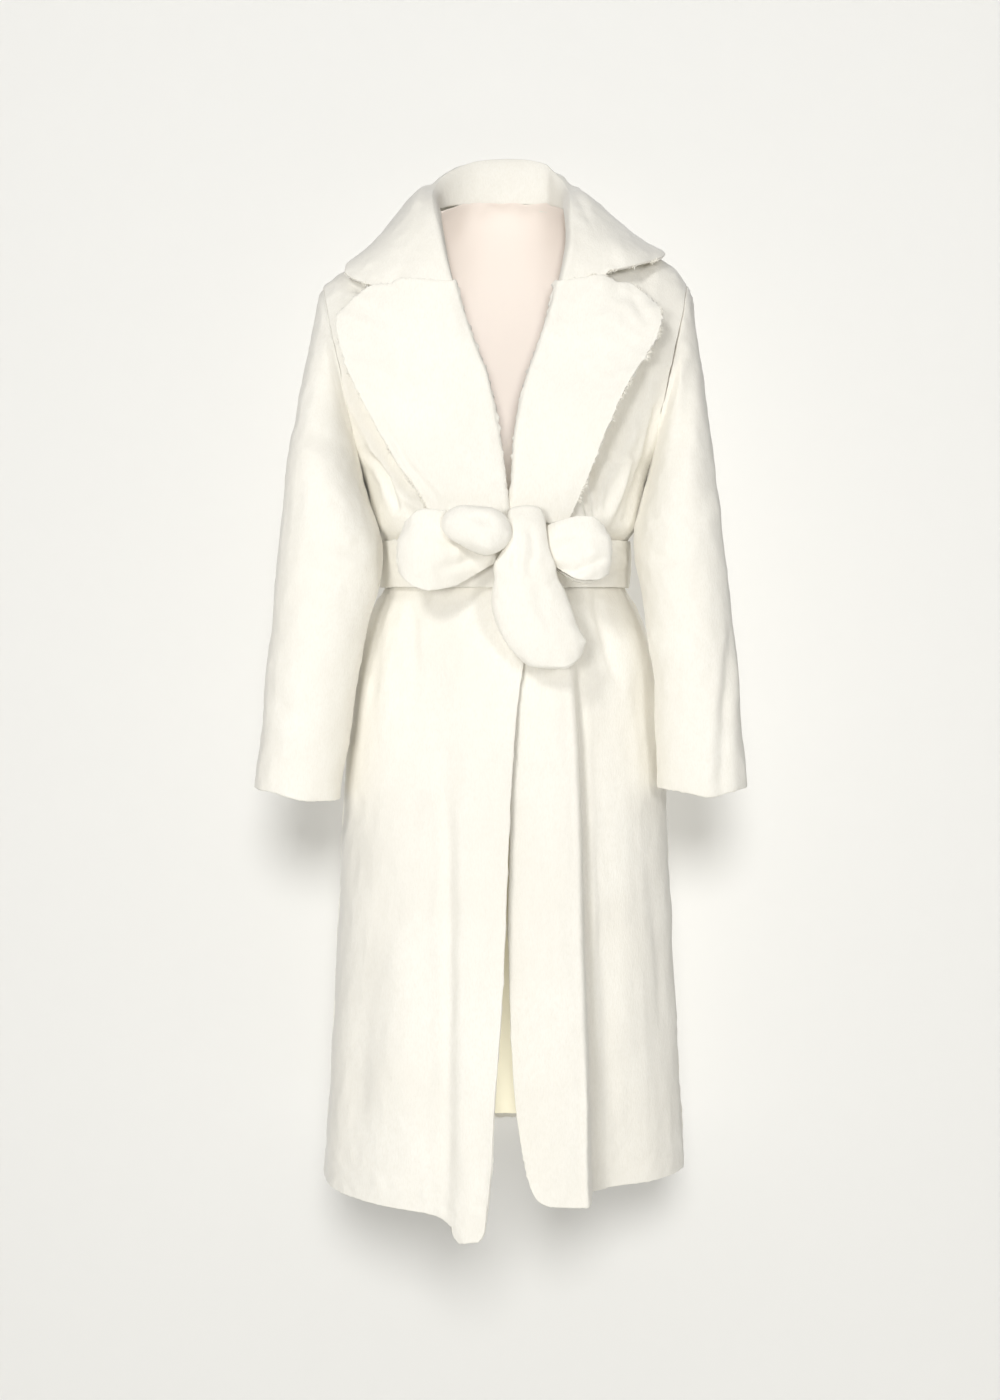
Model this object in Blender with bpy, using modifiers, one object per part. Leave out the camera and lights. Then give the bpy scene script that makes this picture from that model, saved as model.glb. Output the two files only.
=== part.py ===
"""Plush wrap coat with a notched lapel collar and a half-bow belt, filled out as if worn.

Metres, +Z up. The wearer faces -Y, and the wearer's left is +X. The origin is between the two
neck points of the shoulder seams, where a wearer's neck holds the coat up.

Each piece of cloth is an open surface, its side that faces the wearer, and Solidify gives it its
wall outwards. The body surface comes from a table of level sections. What lies on a panel is made
from that panel's own points, moved out.
"""

import math
from bisect import bisect_right
from collections import namedtuple

import bpy
from mathutils import Vector

OBJECT_NAME = "wrap_coat"

# Walls and clearances
PLUSH_WALL = 0.004  # plush and its backing
LAPEL_WALL = 0.005  # two plies of plush, pressed together along the edge
LINING_WALL = 0.001
LINING_GAP = 0.0010  # between the back and its lining
LINING_REACH = 0.7  # the lining stops short in the last column before the armhole and the side seam
SEAM_GAP = 0.0003
BELT_WALL = 0.008  # padded belt, pressed flat round the waist

RIGHT = -1  # the wearer's right, at -X
LEFT = 1

# Shoulder seam and armhole, on the side of the cloth that faces the wearer
NECK_POINT = Vector((0.080, 0.0, 0.013))
SHOULDER_TIP_X = 0.221
ARMHOLE_CENTRE_X = 0.195
ARMHOLE_CENTRE_Z = -0.190
ARMHOLE_HALF_HEIGHT = 0.112
ARMHOLE_HALF_DEPTH = 0.078
ARMHOLE_LEAN = SHOULDER_TIP_X - ARMHOLE_CENTRE_X  # the top of the loop lies further out
SHOULDER_TIP = Vector((SHOULDER_TIP_X, 0.0, ARMHOLE_CENTRE_Z + ARMHOLE_HALF_HEIGHT))
UNDERARM_Z = ARMHOLE_CENTRE_Z - ARMHOLE_HALF_HEIGHT
CHEST_Z = ARMHOLE_CENTRE_Z  # the yoke curves over from the shoulder seam to this level
BACK_NECK_DEPTH = 0.066
BACK_NECK_RISE = 0.021
BACK_NECK_POWER = 2.4  # squareness of the back neck curve
YOKE_EASE = 0.8  # the neck edge of a front keeps to the neck before it swings to the opening
SEAM_EASE_POWER = 6  # ridges of the back end at the side seams
HEM_Z = -1.180

# Level sections of the coat, over the outside of the cloth. Roundness 2 is an ellipse, more is squarer.
Section = namedtuple("Section", "height half_width right_front left_front back roundness left_roundness")
SECTIONS = [
    Section(-0.190, 0.195, 0.109, 0.109, 0.112, 2.3, 2.3),
    Section(-0.302, 0.172, 0.121, 0.121, 0.111, 2.3, 2.3),
    Section(-0.340, 0.161, 0.125, 0.125, 0.110, 2.3, 2.3),
    Section(-0.364, 0.157, 0.127, 0.127, 0.110, 2.3, 2.3),
    Section(-0.380, 0.155, 0.123, 0.124, 0.107, 2.3, 2.3),
    Section(-0.390, 0.146, 0.112, 0.112, 0.097, 2.3, 2.3),
    Section(-0.418, 0.145, 0.111, 0.111, 0.096, 2.3, 2.3),
    Section(-0.446, 0.146, 0.112, 0.112, 0.097, 2.3, 2.3),
    Section(-0.458, 0.156, 0.117, 0.117, 0.102, 2.3, 2.3),
    Section(-0.500, 0.178, 0.126, 0.125, 0.116, 2.3, 2.2),
    Section(-0.600, 0.194, 0.138, 0.132, 0.136, 2.3, 2.0),
    Section(-0.700, 0.202, 0.146, 0.134, 0.150, 2.3, 1.9),
    Section(-0.850, 0.209, 0.158, 0.133, 0.167, 2.3, 1.8),
    Section(-1.000, 0.217, 0.170, 0.128, 0.182, 2.3, 1.75),
    Section(-1.180, 0.229, 0.185, 0.122, 0.200, 2.3, 1.7),
]

# Front edges: the roll line down to the belt, then the free edge. The right front lies on the left one.
Edge = namedtuple("Edge", "height right_edge left_edge right_drape left_drape lift")
EDGES = [
    Edge(0.013, 0.080, 0.080, 0.140, 0.140, 0.0),
    Edge(-0.040, 0.076, 0.077, 0.136, 0.136, 0.0),
    Edge(-0.092, 0.066, 0.069, 0.128, 0.128, 0.0),
    Edge(-0.142, 0.048, 0.056, 0.122, 0.122, 0.0),
    Edge(-0.205, 0.026, 0.030, 0.116, 0.116, 0.0),
    Edge(-0.270, 0.013, 0.017, 0.104, 0.104, 0.0),
    Edge(-0.335, 0.0055, 0.0135, 0.090, 0.090, 0.0040),
    Edge(-0.362, 0.0055, 0.0135, 0.084, 0.086, 0.0070),
    Edge(-0.390, -0.036, -0.026, 0.078, 0.076, 0.0078),
    Edge(-0.418, -0.045, -0.034, 0.074, 0.072, 0.0078),
    Edge(-0.446, -0.040, -0.030, 0.070, 0.072, 0.0078),
    Edge(-0.500, -0.028, -0.016, 0.062, 0.078, 0.0075),
    Edge(-0.560, -0.017, -0.004, 0.060, 0.083, 0.0070),
    Edge(-0.626, -0.010, 0.008, 0.062, 0.088, 0.0065),
    Edge(-0.740, -0.004, 0.0115, 0.064, 0.093, 0.0030),
    Edge(-0.930, 0.003, 0.0115, 0.066, 0.099, 0.0),
    Edge(-1.080, 0.012, 0.014, 0.067, 0.104, 0.0),
    Edge(-1.180, 0.014, 0.021, 0.067, 0.106, 0.0),
]
LIFT_FULL = 0.050  # the right front keeps its whole lift this far from the centre
LIFT_SPREAD = 0.055  # and loses it over this width

# The left front's deep fold: a flat strip stands in front of the panel behind it
Fold = namedtuple("Fold", "height forward_at_edge forward_at_fold undercut")
DEEP_FOLD = [
    Fold(-0.446, 0.000, 0.000, 0.000),
    Fold(-0.500, 0.000, 0.006, 0.000),
    Fold(-0.560, 0.002, 0.016, 0.003),
    Fold(-0.740, 0.010, 0.026, 0.006),
    Fold(-0.930, 0.022, 0.040, 0.009),
    Fold(-1.180, 0.036, 0.056, 0.012),
]

UNDERCUT_START = 0.25  # part of the turn from which the cloth runs back behind the strip

# The right front's soft crease: the strip beside the opening hangs in front of it
Crease = namedtuple("Crease", "height forward")
SOFT_CREASE = [
    Crease(-0.446, 0.000),
    Crease(-0.560, 0.004),
    Crease(-0.740, 0.008),
    Crease(-0.930, 0.012),
    Crease(-1.180, 0.020),
]

CREASE_COLUMN = 0.36
CREASE_START = 0.018  # the step back starts this far before the crease
CREASE_WIDTH = 0.020

# Hem and rounded corners, by distance across from the front edge
Hem = namedtuple("Hem", "across right_drop left_drop")
HEM_LINE = [
    Hem(0.000, -0.060, -0.062),
    Hem(0.004, -0.030, -0.032),
    Hem(0.010, -0.006, -0.014),
    Hem(0.020, 0.015, -0.003),
    Hem(0.038, 0.024, 0.000),
    Hem(0.046, 0.016, 0.000),
    Hem(0.056, 0.001, 0.000),
    Hem(0.120, 0.000, 0.000),
]
HEM_EASE_Z = -0.960  # above this the rows are level

SIDE_SHARE = 0.5  # at the side seam this share of a ridge goes outwards and the rest forwards

# Gathers that the tied belt draws in, as ridges that fade away from it
Gather = namedtuple("Gather", "panel across top bottom height width")
GATHERS = [
    Gather("left_front", 0.63, -0.270, -0.386, 0.0060, 0.045),
    Gather("left_front", 0.78, -0.290, -0.386, 0.0050, 0.040),
    Gather("left_front", 0.70, -0.450, -0.640, 0.0050, 0.050),
    Gather("left_front", 0.90, -0.740, -1.050, 0.0060, 0.055),
    Gather("right_front", 0.62, -0.280, -0.386, 0.0050, 0.050),
    Gather("right_front", 0.60, -0.450, -0.700, 0.0045, 0.060),
    Gather("right_front", 0.80, -0.800, -1.180, 0.0060, 0.070),
    Gather("back", -0.66, -0.250, -0.386, 0.0050, 0.050),
    Gather("back", -0.30, -0.270, -0.386, 0.0060, 0.050),
    Gather("back", 0.12, -0.240, -0.386, 0.0050, 0.045),
    Gather("back", 0.48, -0.280, -0.386, 0.0060, 0.050),
    Gather("back", -0.52, -0.450, -0.800, 0.0060, 0.060),
    Gather("back", -0.16, -0.450, -0.690, 0.0050, 0.050),
    Gather("back", 0.26, -0.450, -0.860, 0.0065, 0.060),
    Gather("back", 0.62, -0.450, -0.720, 0.0050, 0.050),
    Gather("back", -0.40, -0.820, -1.180, 0.0100, 0.110),
    Gather("back", 0.05, -0.760, -1.180, 0.0090, 0.100),
    Gather("back", 0.52, -0.840, -1.180, 0.0100, 0.110),
]

# Levels of the panel rows: fractions of the yoke's curve, then heights
YOKE_ROWS = [0.0, 0.18, 0.36, 0.54, 0.72, 0.88]
ARMHOLE_ROWS = [90.0, 112.0, 135.0, 158.0, 180.0]  # degrees round the armhole from its top
SKIRT_ROWS = [-0.332, -0.362, -0.378, -0.389, -0.418, -0.447, -0.460, -0.500, -0.545, -0.600]
SKIRT_ROWS += [-0.670, -0.740, -0.820, -0.910, -1.000, -1.070, -1.125, -1.155, -1.172, HEM_Z]

NORMAL_STEP = 0.004  # how far to either side a surface is sampled for its normal
SEARCH_STEPS = 24

FOLD_START = 0.40
FOLD_END = 0.50
LEFT_FRONT_COLUMNS = [0.0, 0.05, 0.12, 0.22, 0.32, FOLD_START, 0.433, 0.467, FOLD_END, 0.57, 0.66, 0.75, 0.84]
LEFT_FRONT_COLUMNS += [0.93, 1.0]
RIGHT_FRONT_COLUMNS = [0.0, 0.05, 0.12, 0.20, 0.28, 0.36, 0.44, 0.52, 0.60, 0.68, 0.76, 0.84, 0.92, 1.0]
NO_SPLIT = 1e-6  # the back's columns are spaced evenly
NECK_COLUMNS = 3  # from the centre back to the neck point
BACK_COLUMNS = 10  # from the centre back to the side

# Lapel outline: how far the edge reaches from the centre, and how far it stands off the chest
Lapel = namedtuple("Lapel", "height right_reach left_reach right_stand left_stand")
LAPEL_LINE = [
    Lapel(-0.130, 0.190, 0.174, 0.008, 0.022),
    Lapel(-0.150, 0.184, 0.173, 0.010, 0.028),
    Lapel(-0.190, 0.165, 0.155, 0.012, 0.034),
    Lapel(-0.231, 0.147, 0.135, 0.012, 0.036),
    Lapel(-0.270, 0.129, 0.118, 0.010, 0.030),
    Lapel(-0.310, 0.105, 0.099, 0.007, 0.020),
    Lapel(-0.340, 0.085, 0.086, 0.003, 0.010),
    Lapel(-0.358, 0.066, 0.074, 0.001, 0.004),
]
GORGE_PART = 0.70  # the lapel's top row starts on the roll line at this part of the yoke
LAPEL_ROWS = [("yoke", GORGE_PART), ("yoke", 0.77), ("yoke", 0.84), ("yoke", 0.92), ("height", -0.190)]
LAPEL_ROWS += [("height", -0.215), ("height", -0.242), ("height", -0.270), ("height", -0.298)]
LAPEL_ROWS += [("height", -0.325), ("height", -0.345), ("height", -0.358)]
ROLL_RADIUS = 0.003  # inside the turn of the cloth
ROLL_STEPS = 4
LAPEL_FIRST_GUESS = 0.9  # fraction across the panel from which the edge is sought
LAPEL_LIFT_POWER = 1.5  # the lapel lifts mostly near its edge
LAPEL_COLUMNS = [0.08, 0.20, 0.35, 0.50, 0.62, 0.70, 0.84, 1.0]

# Top edge of the lapel: level along the gorge seam, then down to the peak
TopEdge = namedtuple("TopEdge", "column right_part left_part")
LAPEL_TOP = [
    TopEdge(0.00, GORGE_PART, GORGE_PART),
    TopEdge(0.35, 0.640, 0.640),
    TopEdge(0.62, 0.590, 0.580),
    TopEdge(0.70, 0.605, 0.600),
    TopEdge(0.84, 0.645, 0.640),
    TopEdge(1.00, 0.700, 0.720),
]

# Collar: stations round half of the neck by row number, on the side of the cloth that faces the coat
Station = namedtuple("Station", "row seam crest mid edge")
BACK_STATIONS = [
    Station(0.0, (0.000, 0.073, 0.039), (0.000, 0.085, 0.083), (0.000, 0.112, 0.040), (0.000, 0.132, -0.030)),
    Station(2.0, (0.036, 0.068, 0.037), (0.038, 0.079, 0.077), (0.056, 0.106, 0.034), (0.068, 0.128, -0.034)),
    Station(4.0, (0.068, 0.048, 0.031), (0.070, 0.054, 0.060), (0.098, 0.080, 0.018), (0.120, 0.110, -0.042)),
    Station(6.5, (0.087, 0.012, 0.020), (0.087, 0.014, 0.036), (0.128, 0.026, 0.008), (0.165, 0.050, -0.040)),
]
# Towards the front the collar lies over the front panel: yoke parts, fractions across, and heights over it
FRONT_STATION_COLUMNS = "row seam_part crest_lift mid_part mid_across edge_part edge_across lift"
FrontStation = namedtuple("FrontStation", FRONT_STATION_COLUMNS)
RIGHT_FRONT_STATIONS = [
    FrontStation(8.0, 0.18, 0.014, 0.14, 0.38, 0.08, 0.70, 0.010),
    FrontStation(9.0, 0.36, 0.012, 0.28, 0.40, 0.17, 0.73, 0.009),
    FrontStation(10.0, 0.54, 0.010, 0.44, 0.42, 0.25, 0.75, 0.009),
    FrontStation(11.0, 0.68, 0.009, 0.585, 0.43, 0.33, 0.76, 0.008),
]
LEFT_FRONT_STATIONS = [
    FrontStation(8.0, 0.18, 0.014, 0.12, 0.38, 0.04, 0.69, 0.012),
    FrontStation(9.0, 0.36, 0.012, 0.26, 0.40, 0.09, 0.72, 0.013),
    FrontStation(10.0, 0.54, 0.010, 0.41, 0.42, 0.14, 0.74, 0.013),
    FrontStation(11.0, 0.68, 0.009, 0.525, 0.43, 0.19, 0.75, 0.012),
]
Sample = namedtuple("Sample", "row value")
COLLAR_WALL = 0.005
COLLAR_CLEAR = 0.0008  # the collar seam rides this far over the front panel
COLLAR_ROWS = 11  # rows in each half, from the centre back to the front end
STAND_COLUMNS = 2
CREST_RADIUS = 0.005
CREST_TURNS = [0.0, 60.0, 120.0]  # degrees over the fold of the collar
FALL_COLUMNS = 5

# Sleeve rings: the outermost and innermost points, and the middle and half depth from front to back
Ring = namedtuple("Ring", "outer_x outer_z inner_x inner_z middle_y half_depth")
RIGHT_SLEEVE_RINGS = [
    Ring(0.2290, -0.0880, 0.1740, -0.3160, -0.002, 0.0795),
    Ring(0.2370, -0.1350, 0.1660, -0.3380, -0.016, 0.0765),
    Ring(0.2480, -0.2000, 0.1580, -0.3620, -0.040, 0.0710),
    Ring(0.2580, -0.2650, 0.1460, -0.3880, -0.076, 0.0600),
    Ring(0.2650, -0.3350, 0.1440, -0.4200, -0.092, 0.0550),
    Ring(0.2720, -0.4080, 0.1540, -0.4600, -0.094, 0.0525),
    Ring(0.2800, -0.4800, 0.1670, -0.5050, -0.091, 0.0505),
    Ring(0.2880, -0.5550, 0.1780, -0.5650, -0.085, 0.0490),
    Ring(0.2965, -0.6300, 0.1890, -0.6360, -0.081, 0.0480),
    Ring(0.3050, -0.7000, 0.1990, -0.7060, -0.077, 0.0475),
]
LEFT_SLEEVE_RINGS = [
    Ring(0.2310, -0.0880, 0.1740, -0.3160, -0.002, 0.0795),
    Ring(0.2350, -0.1350, 0.1660, -0.3380, -0.016, 0.0765),
    Ring(0.2420, -0.2000, 0.1590, -0.3620, -0.036, 0.0710),
    Ring(0.2500, -0.2650, 0.1545, -0.3880, -0.054, 0.0640),
    Ring(0.2570, -0.3350, 0.1570, -0.4200, -0.066, 0.0580),
    Ring(0.2650, -0.4080, 0.1640, -0.4600, -0.073, 0.0540),
    Ring(0.2740, -0.4800, 0.1720, -0.5050, -0.076, 0.0510),
    Ring(0.2820, -0.5550, 0.1800, -0.5650, -0.076, 0.0490),
    Ring(0.2895, -0.6300, 0.1840, -0.6360, -0.074, 0.0480),
    Ring(0.2930, -0.7000, 0.1845, -0.7060, -0.071, 0.0475),
]
SLEEVE_SIDES = 20
ARMHOLE_CLEAR = 0.0084  # the sleeve head clears the body wall at the underarm
ARMHOLE_EASE = 0.0020  # and eases off it at the front and the back

# Belt round the waist
BELT_LEVELS = [-0.3915, -0.404, -0.4185, -0.433, -0.4455]
BELT_PUFF = 0.0025
BELT_CLEAR_SIDE = 0.0012
BELT_CLEAR_FRONT = 0.0105
BELT_SIDES = 44

# Padded bow pieces: rings along each piece's path, with half sizes across it
Puff = namedtuple("Puff", "x y z half_height half_depth")
KNOT_RINGS = [
    Puff(-0.0590, -0.1700, -0.3830, 0.0040, 0.0030),
    Puff(-0.0530, -0.1730, -0.3820, 0.0170, 0.0110),
    Puff(-0.0400, -0.1770, -0.3810, 0.0255, 0.0165),
    Puff(-0.0240, -0.1790, -0.3820, 0.0290, 0.0185),
    Puff(-0.0100, -0.1770, -0.3850, 0.0270, 0.0165),
    Puff(0.0010, -0.1730, -0.3880, 0.0170, 0.0110),
    Puff(0.0060, -0.1700, -0.3890, 0.0040, 0.0030),
]
TAIL_RINGS = [
    Puff(0.0240, -0.1420, -0.3560, 0.0110, 0.0040),
    Puff(0.0240, -0.1560, -0.3590, 0.0170, 0.0085),
    Puff(0.0245, -0.1650, -0.3780, 0.0185, 0.0095),
    Puff(0.0250, -0.1680, -0.4040, 0.0195, 0.0105),
    Puff(0.0230, -0.1675, -0.4250, 0.0310, 0.0130),
    Puff(0.0220, -0.1670, -0.4450, 0.0420, 0.0155),
    Puff(0.0300, -0.1665, -0.4750, 0.0470, 0.0175),
    Puff(0.0440, -0.1665, -0.5020, 0.0430, 0.0170),
    Puff(0.0590, -0.1665, -0.5240, 0.0340, 0.0140),
    Puff(0.0690, -0.1665, -0.5390, 0.0200, 0.0090),
    Puff(0.0725, -0.1665, -0.5445, 0.0070, 0.0035),
]
PUFF_SIDES = 16
PUFF_SQUARENESS = 0.85

# Bow loops: a padded band that runs out from the knot, turns back and returns behind itself
Bend = namedtuple("Bend", "x y z half_height")
RIGHT_LOOP = [
    Bend(-0.012, -0.1485, -0.398, 0.018),
    Bend(-0.035, -0.1500, -0.400, 0.030),
    Bend(-0.062, -0.1620, -0.403, 0.042),
    Bend(-0.090, -0.1700, -0.404, 0.046),
    Bend(-0.112, -0.1680, -0.400, 0.040),
    Bend(-0.121, -0.1600, -0.396, 0.034),
    Bend(-0.113, -0.1500, -0.398, 0.036),
    Bend(-0.092, -0.1475, -0.402, 0.040),
    Bend(-0.064, -0.1450, -0.402, 0.036),
    Bend(-0.040, -0.1405, -0.400, 0.026),
]
LEFT_LOOP = [
    Bend(0.050, -0.1520, -0.398, 0.020),
    Bend(0.064, -0.1620, -0.400, 0.028),
    Bend(0.086, -0.1690, -0.402, 0.036),
    Bend(0.106, -0.1670, -0.402, 0.035),
    Bend(0.1185, -0.1590, -0.400, 0.030),
    Bend(0.1130, -0.1490, -0.402, 0.031),
    Bend(0.095, -0.1460, -0.406, 0.036),
    Bend(0.072, -0.1440, -0.406, 0.032),
    Bend(0.052, -0.1400, -0.404, 0.022),
]
LoopSample = namedtuple("LoopSample", "number x y z half_height")
LOOP_WALL = 0.0055
LOOP_STEPS = 3  # rows between two bends
LOOP_ACROSS = 6
LOOP_PUFF = 0.004
PATH_STEP = 0.1  # of a bend, ahead and behind, for the direction of the path


def remove_scene_objects():
    """Start from an empty scene."""
    for scene_object in list(bpy.data.objects):
        bpy.data.objects.remove(scene_object)


def cloth_material(name, base_color, roughness, sheen):
    """Principled cloth material with the piece's colour."""
    material = bpy.data.materials.new(name)
    material.use_nodes = True
    shader = material.node_tree.nodes["Principled BSDF"]
    shader.inputs["Base Color"].default_value = base_color
    shader.inputs["Roughness"].default_value = roughness
    shader.inputs["Metallic"].default_value = 0.0
    shader.inputs["Sheen Weight"].default_value = sheen
    return material


def value_at(table, column, place):
    """Value of a table's column at a place along its first column, smooth and without overshoot."""
    rows = sorted(table, key=lambda row: row[0])
    keys = [row[0] for row in rows]
    values = [getattr(row, column) for row in rows]
    if place <= keys[0]:
        return values[0]
    if place >= keys[-1]:
        return values[-1]
    slopes = [(values[k + 1] - values[k]) / (keys[k + 1] - keys[k]) for k in range(len(keys) - 1)]

    def tangent(k):
        """Slope at row k: the harmonic mean of its neighbours' slopes, or level at a turning point."""
        if k == 0 or k == len(keys) - 1:
            return slopes[min(k, len(slopes) - 1)]
        before, after = slopes[k - 1], slopes[k]
        if before * after <= 0.0:
            return 0.0
        return 2.0 * before * after / (before + after)

    k = bisect_right(keys, place) - 1
    span = keys[k + 1] - keys[k]
    t = (place - keys[k]) / span
    start, end = values[k], values[k + 1]
    blend = t * t * (3.0 - 2.0 * t)
    leave = t * (1.0 - t) * (1.0 - t) * tangent(k) * span
    arrive = t * t * (t - 1.0) * tangent(k + 1) * span
    return start + (end - start) * blend + leave + arrive


def smooth_step(t):
    """0 to 1, level at both ends."""
    t = min(1.0, max(0.0, t))
    return t * t * (3.0 - 2.0 * t)


def signed_power(value, power):
    """Power that keeps the sign."""
    return math.copysign(abs(value) ** power, value)


def side_edge(height):
    """Outer end of a panel's row, across and in depth: on the armhole, or on the side seam below it."""
    if height > UNDERARM_Z:
        cosine = (height - ARMHOLE_CENTRE_Z) / ARMHOLE_HALF_HEIGHT
        sine = math.sqrt(max(0.0, 1.0 - cosine * cosine))
        return ARMHOLE_CENTRE_X + ARMHOLE_LEAN * cosine, ARMHOLE_HALF_DEPTH * sine
    return value_at(SECTIONS, "half_width", height) - PLUSH_WALL, 0.0


def section_points(height, depth, roundness, inner_x, split_x, split, fractions):
    """One level row from inner_x to the side, as (across, depth), with split_x at the fraction split."""
    outer_x, outer_y = side_edge(height)
    power = 2.0 / roundness
    end = math.acos((outer_y / depth) ** (1.0 / power))
    half = outer_x / math.sin(end) ** power
    start = math.asin(signed_power(inner_x / half, 1.0 / power))
    middle = math.asin(signed_power(split_x / half, 1.0 / power))
    points = []
    for fraction in fractions:
        if fraction <= split:
            angle = start + (middle - start) * fraction / split
        else:
            angle = middle + (end - middle) * (fraction - split) / (1.0 - split)
        across = half * signed_power(math.sin(angle), power)
        points.append((across, depth * signed_power(math.cos(angle), power)))
    return points


def gather_height(panel, fraction, height):
    """Sum of a panel's gather ridges at one place."""
    total = 0.0
    for gather in GATHERS:
        if gather.panel != panel or not gather.bottom <= height <= gather.top:
            continue
        along = (gather.top - height) / (gather.top - gather.bottom)
        fade = math.sin(math.pi * along) if gather.bottom > HEM_Z else smooth_step(along)
        total += gather.height * fade * math.exp(-(((fraction - gather.across) / gather.width) ** 2))
    return total


def front_row(side, height, fractions):
    """Level row of one front, on the side of the cloth that faces the wearer."""
    name = "right" if side == RIGHT else "left"
    depth = value_at(SECTIONS, name + "_front", height) - PLUSH_WALL
    roundness = value_at(SECTIONS, "roundness" if side == RIGHT else "left_roundness", height)
    inner_x = value_at(EDGES, name + "_edge", height)
    drape_x = value_at(EDGES, name + "_drape", height)
    split = FOLD_START if side == LEFT else CREASE_COLUMN
    flat = section_points(height, depth, roundness, inner_x, drape_x, split, fractions)
    half_width = flat[-1][0]
    row = []
    for fraction, (across, forward) in zip(fractions, flat):
        if side == LEFT:
            at_edge = value_at(DEEP_FOLD, "forward_at_edge", height)
            at_fold = value_at(DEEP_FOLD, "forward_at_fold", height)
            strip = at_edge + (at_fold - at_edge) * min(1.0, fraction / FOLD_START)
            turn = (fraction - FOLD_START) / (FOLD_END - FOLD_START)
            forward += strip * (1.0 - smooth_step(turn))
            if 0.0 < turn < 1.0:
                behind = math.sin(math.pi * turn) * (turn - UNDERCUT_START)
                across -= value_at(DEEP_FOLD, "undercut", height) * behind
        else:
            past_crease = smooth_step((across - drape_x + CREASE_START) / CREASE_WIDTH)
            forward += value_at(SOFT_CREASE, "forward", height) * (1.0 - past_crease)
            past_lift = smooth_step((across - LIFT_FULL) / LIFT_SPREAD)
            forward += value_at(EDGES, "lift", height) * (1.0 - past_lift)
        ridge = gather_height(name + "_front", fraction, height)
        outward = across / half_width
        across += ridge * SIDE_SHARE * outward
        forward += ridge * (1.0 - SIDE_SHARE * outward)
        drop = 0.0
        if height < HEM_EASE_Z:
            eased = (HEM_EASE_Z - height) / (HEM_EASE_Z - HEM_Z)
            drop = eased * value_at(HEM_LINE, name + "_drop", across - inner_x)
        row.append(Vector((side * across, -forward, height - drop)))
    return row


def back_fractions():
    """Columns of the back from the wearer's right side seam to the left one, as -1 to 1."""
    return [k / BACK_COLUMNS for k in range(-BACK_COLUMNS, BACK_COLUMNS + 1)]


def back_row(height, fractions):
    """Level row of the back."""
    depth = value_at(SECTIONS, "back", height) - PLUSH_WALL
    roundness = value_at(SECTIONS, "roundness", height)
    half = section_points(height, depth, roundness, 0.0, 0.0, NO_SPLIT, [abs(f) for f in fractions])
    row = []
    for fraction, (across, backward) in zip(fractions, half):
        ridge = gather_height("back", fraction, height)
        seam_ease = 1.0 - fraction**SEAM_EASE_POWER
        row.append(Vector((math.copysign(across, fraction), backward + ridge * seam_ease, height)))
    return row


def shoulder_point(fraction):
    """Point on the shoulder seam, from the neck point to the shoulder tip."""
    return NECK_POINT.lerp(SHOULDER_TIP, fraction)


def back_top_point(fraction):
    """Top edge of the back: the neck curve, then the shoulder seam."""
    neck_fraction = NECK_COLUMNS / BACK_COLUMNS
    if abs(fraction) >= neck_fraction:
        point = shoulder_point((abs(fraction) - neck_fraction) / (1.0 - neck_fraction))
        return Vector((math.copysign(point.x, fraction), point.y, point.z))
    part = abs(fraction) / neck_fraction
    depth = BACK_NECK_DEPTH * math.sqrt(1.0 - part**BACK_NECK_POWER)
    rise = BACK_NECK_RISE * (1.0 - part * part)
    return Vector((math.copysign(NECK_POINT.x * part, fraction), depth, NECK_POINT.z + rise))


def yoke_point(top, chest, part, ease=1.0):
    """Point of a quarter turn from the top edge over to the chest level."""
    angle = part * math.pi / 2.0
    down = 1.0 - math.cos(angle)
    across = top.x + (chest.x - top.x) * down**ease
    return Vector((across, top.y + (chest.y - top.y) * math.sin(angle), top.z + (chest.z - top.z) * down))


def front_level(side, level, fractions):
    """Row of a front at a level: a fraction of the yoke's curve, or a height."""
    kind, value = level
    if kind == "height":
        return front_row(side, value, fractions)
    chest = front_row(side, CHEST_Z, fractions)
    row = []
    for fraction, below in zip(fractions, chest):
        top = shoulder_point(fraction)
        top.x *= side
        top.y -= SEAM_GAP / 2.0
        row.append(yoke_point(top, below, value, 1.0 + YOKE_EASE * (1.0 - fraction)))
    return row


def panel_levels():
    """Levels of a panel's rows from the shoulder seam to the hem."""
    levels = [("yoke", part) for part in YOKE_ROWS]
    for degrees in ARMHOLE_ROWS:
        levels.append(("height", ARMHOLE_CENTRE_Z + ARMHOLE_HALF_HEIGHT * math.cos(math.radians(degrees))))
    levels += [("height", height) for height in SKIRT_ROWS]
    return levels


def clear_of_side_seam(row):
    """Hold a front row's last point off the side seam by half of the seam's gap."""
    row[-1].y -= SEAM_GAP / 2.0
    return row


def front_grid(side):
    """All rows of one front panel."""
    columns = LEFT_FRONT_COLUMNS if side == LEFT else RIGHT_FRONT_COLUMNS
    return [clear_of_side_seam(front_level(side, level, columns)) for level in panel_levels()]


def back_grid():
    """All rows of the back panel."""
    fractions = back_fractions()
    chest = back_row(CHEST_Z, fractions)
    grid = []
    for kind, value in panel_levels():
        if kind == "height":
            row = back_row(value, fractions)
        else:
            row = []
            for fraction, below in zip(fractions, chest):
                top = back_top_point(fraction)
                top.y += SEAM_GAP / 2.0
                row.append(yoke_point(top, below, value))
        row[0].y += SEAM_GAP / 2.0
        row[-1].y += SEAM_GAP / 2.0
        grid.append(row)
    return grid


def grid_normal(before_row, after_row, before_column, after_column, outward):
    """Normal from the neighbours in a grid, on the side of outward."""
    normal = (after_row - before_row).cross(after_column - before_column).normalized()
    return normal if normal.dot(outward) > 0.0 else -normal


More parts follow.
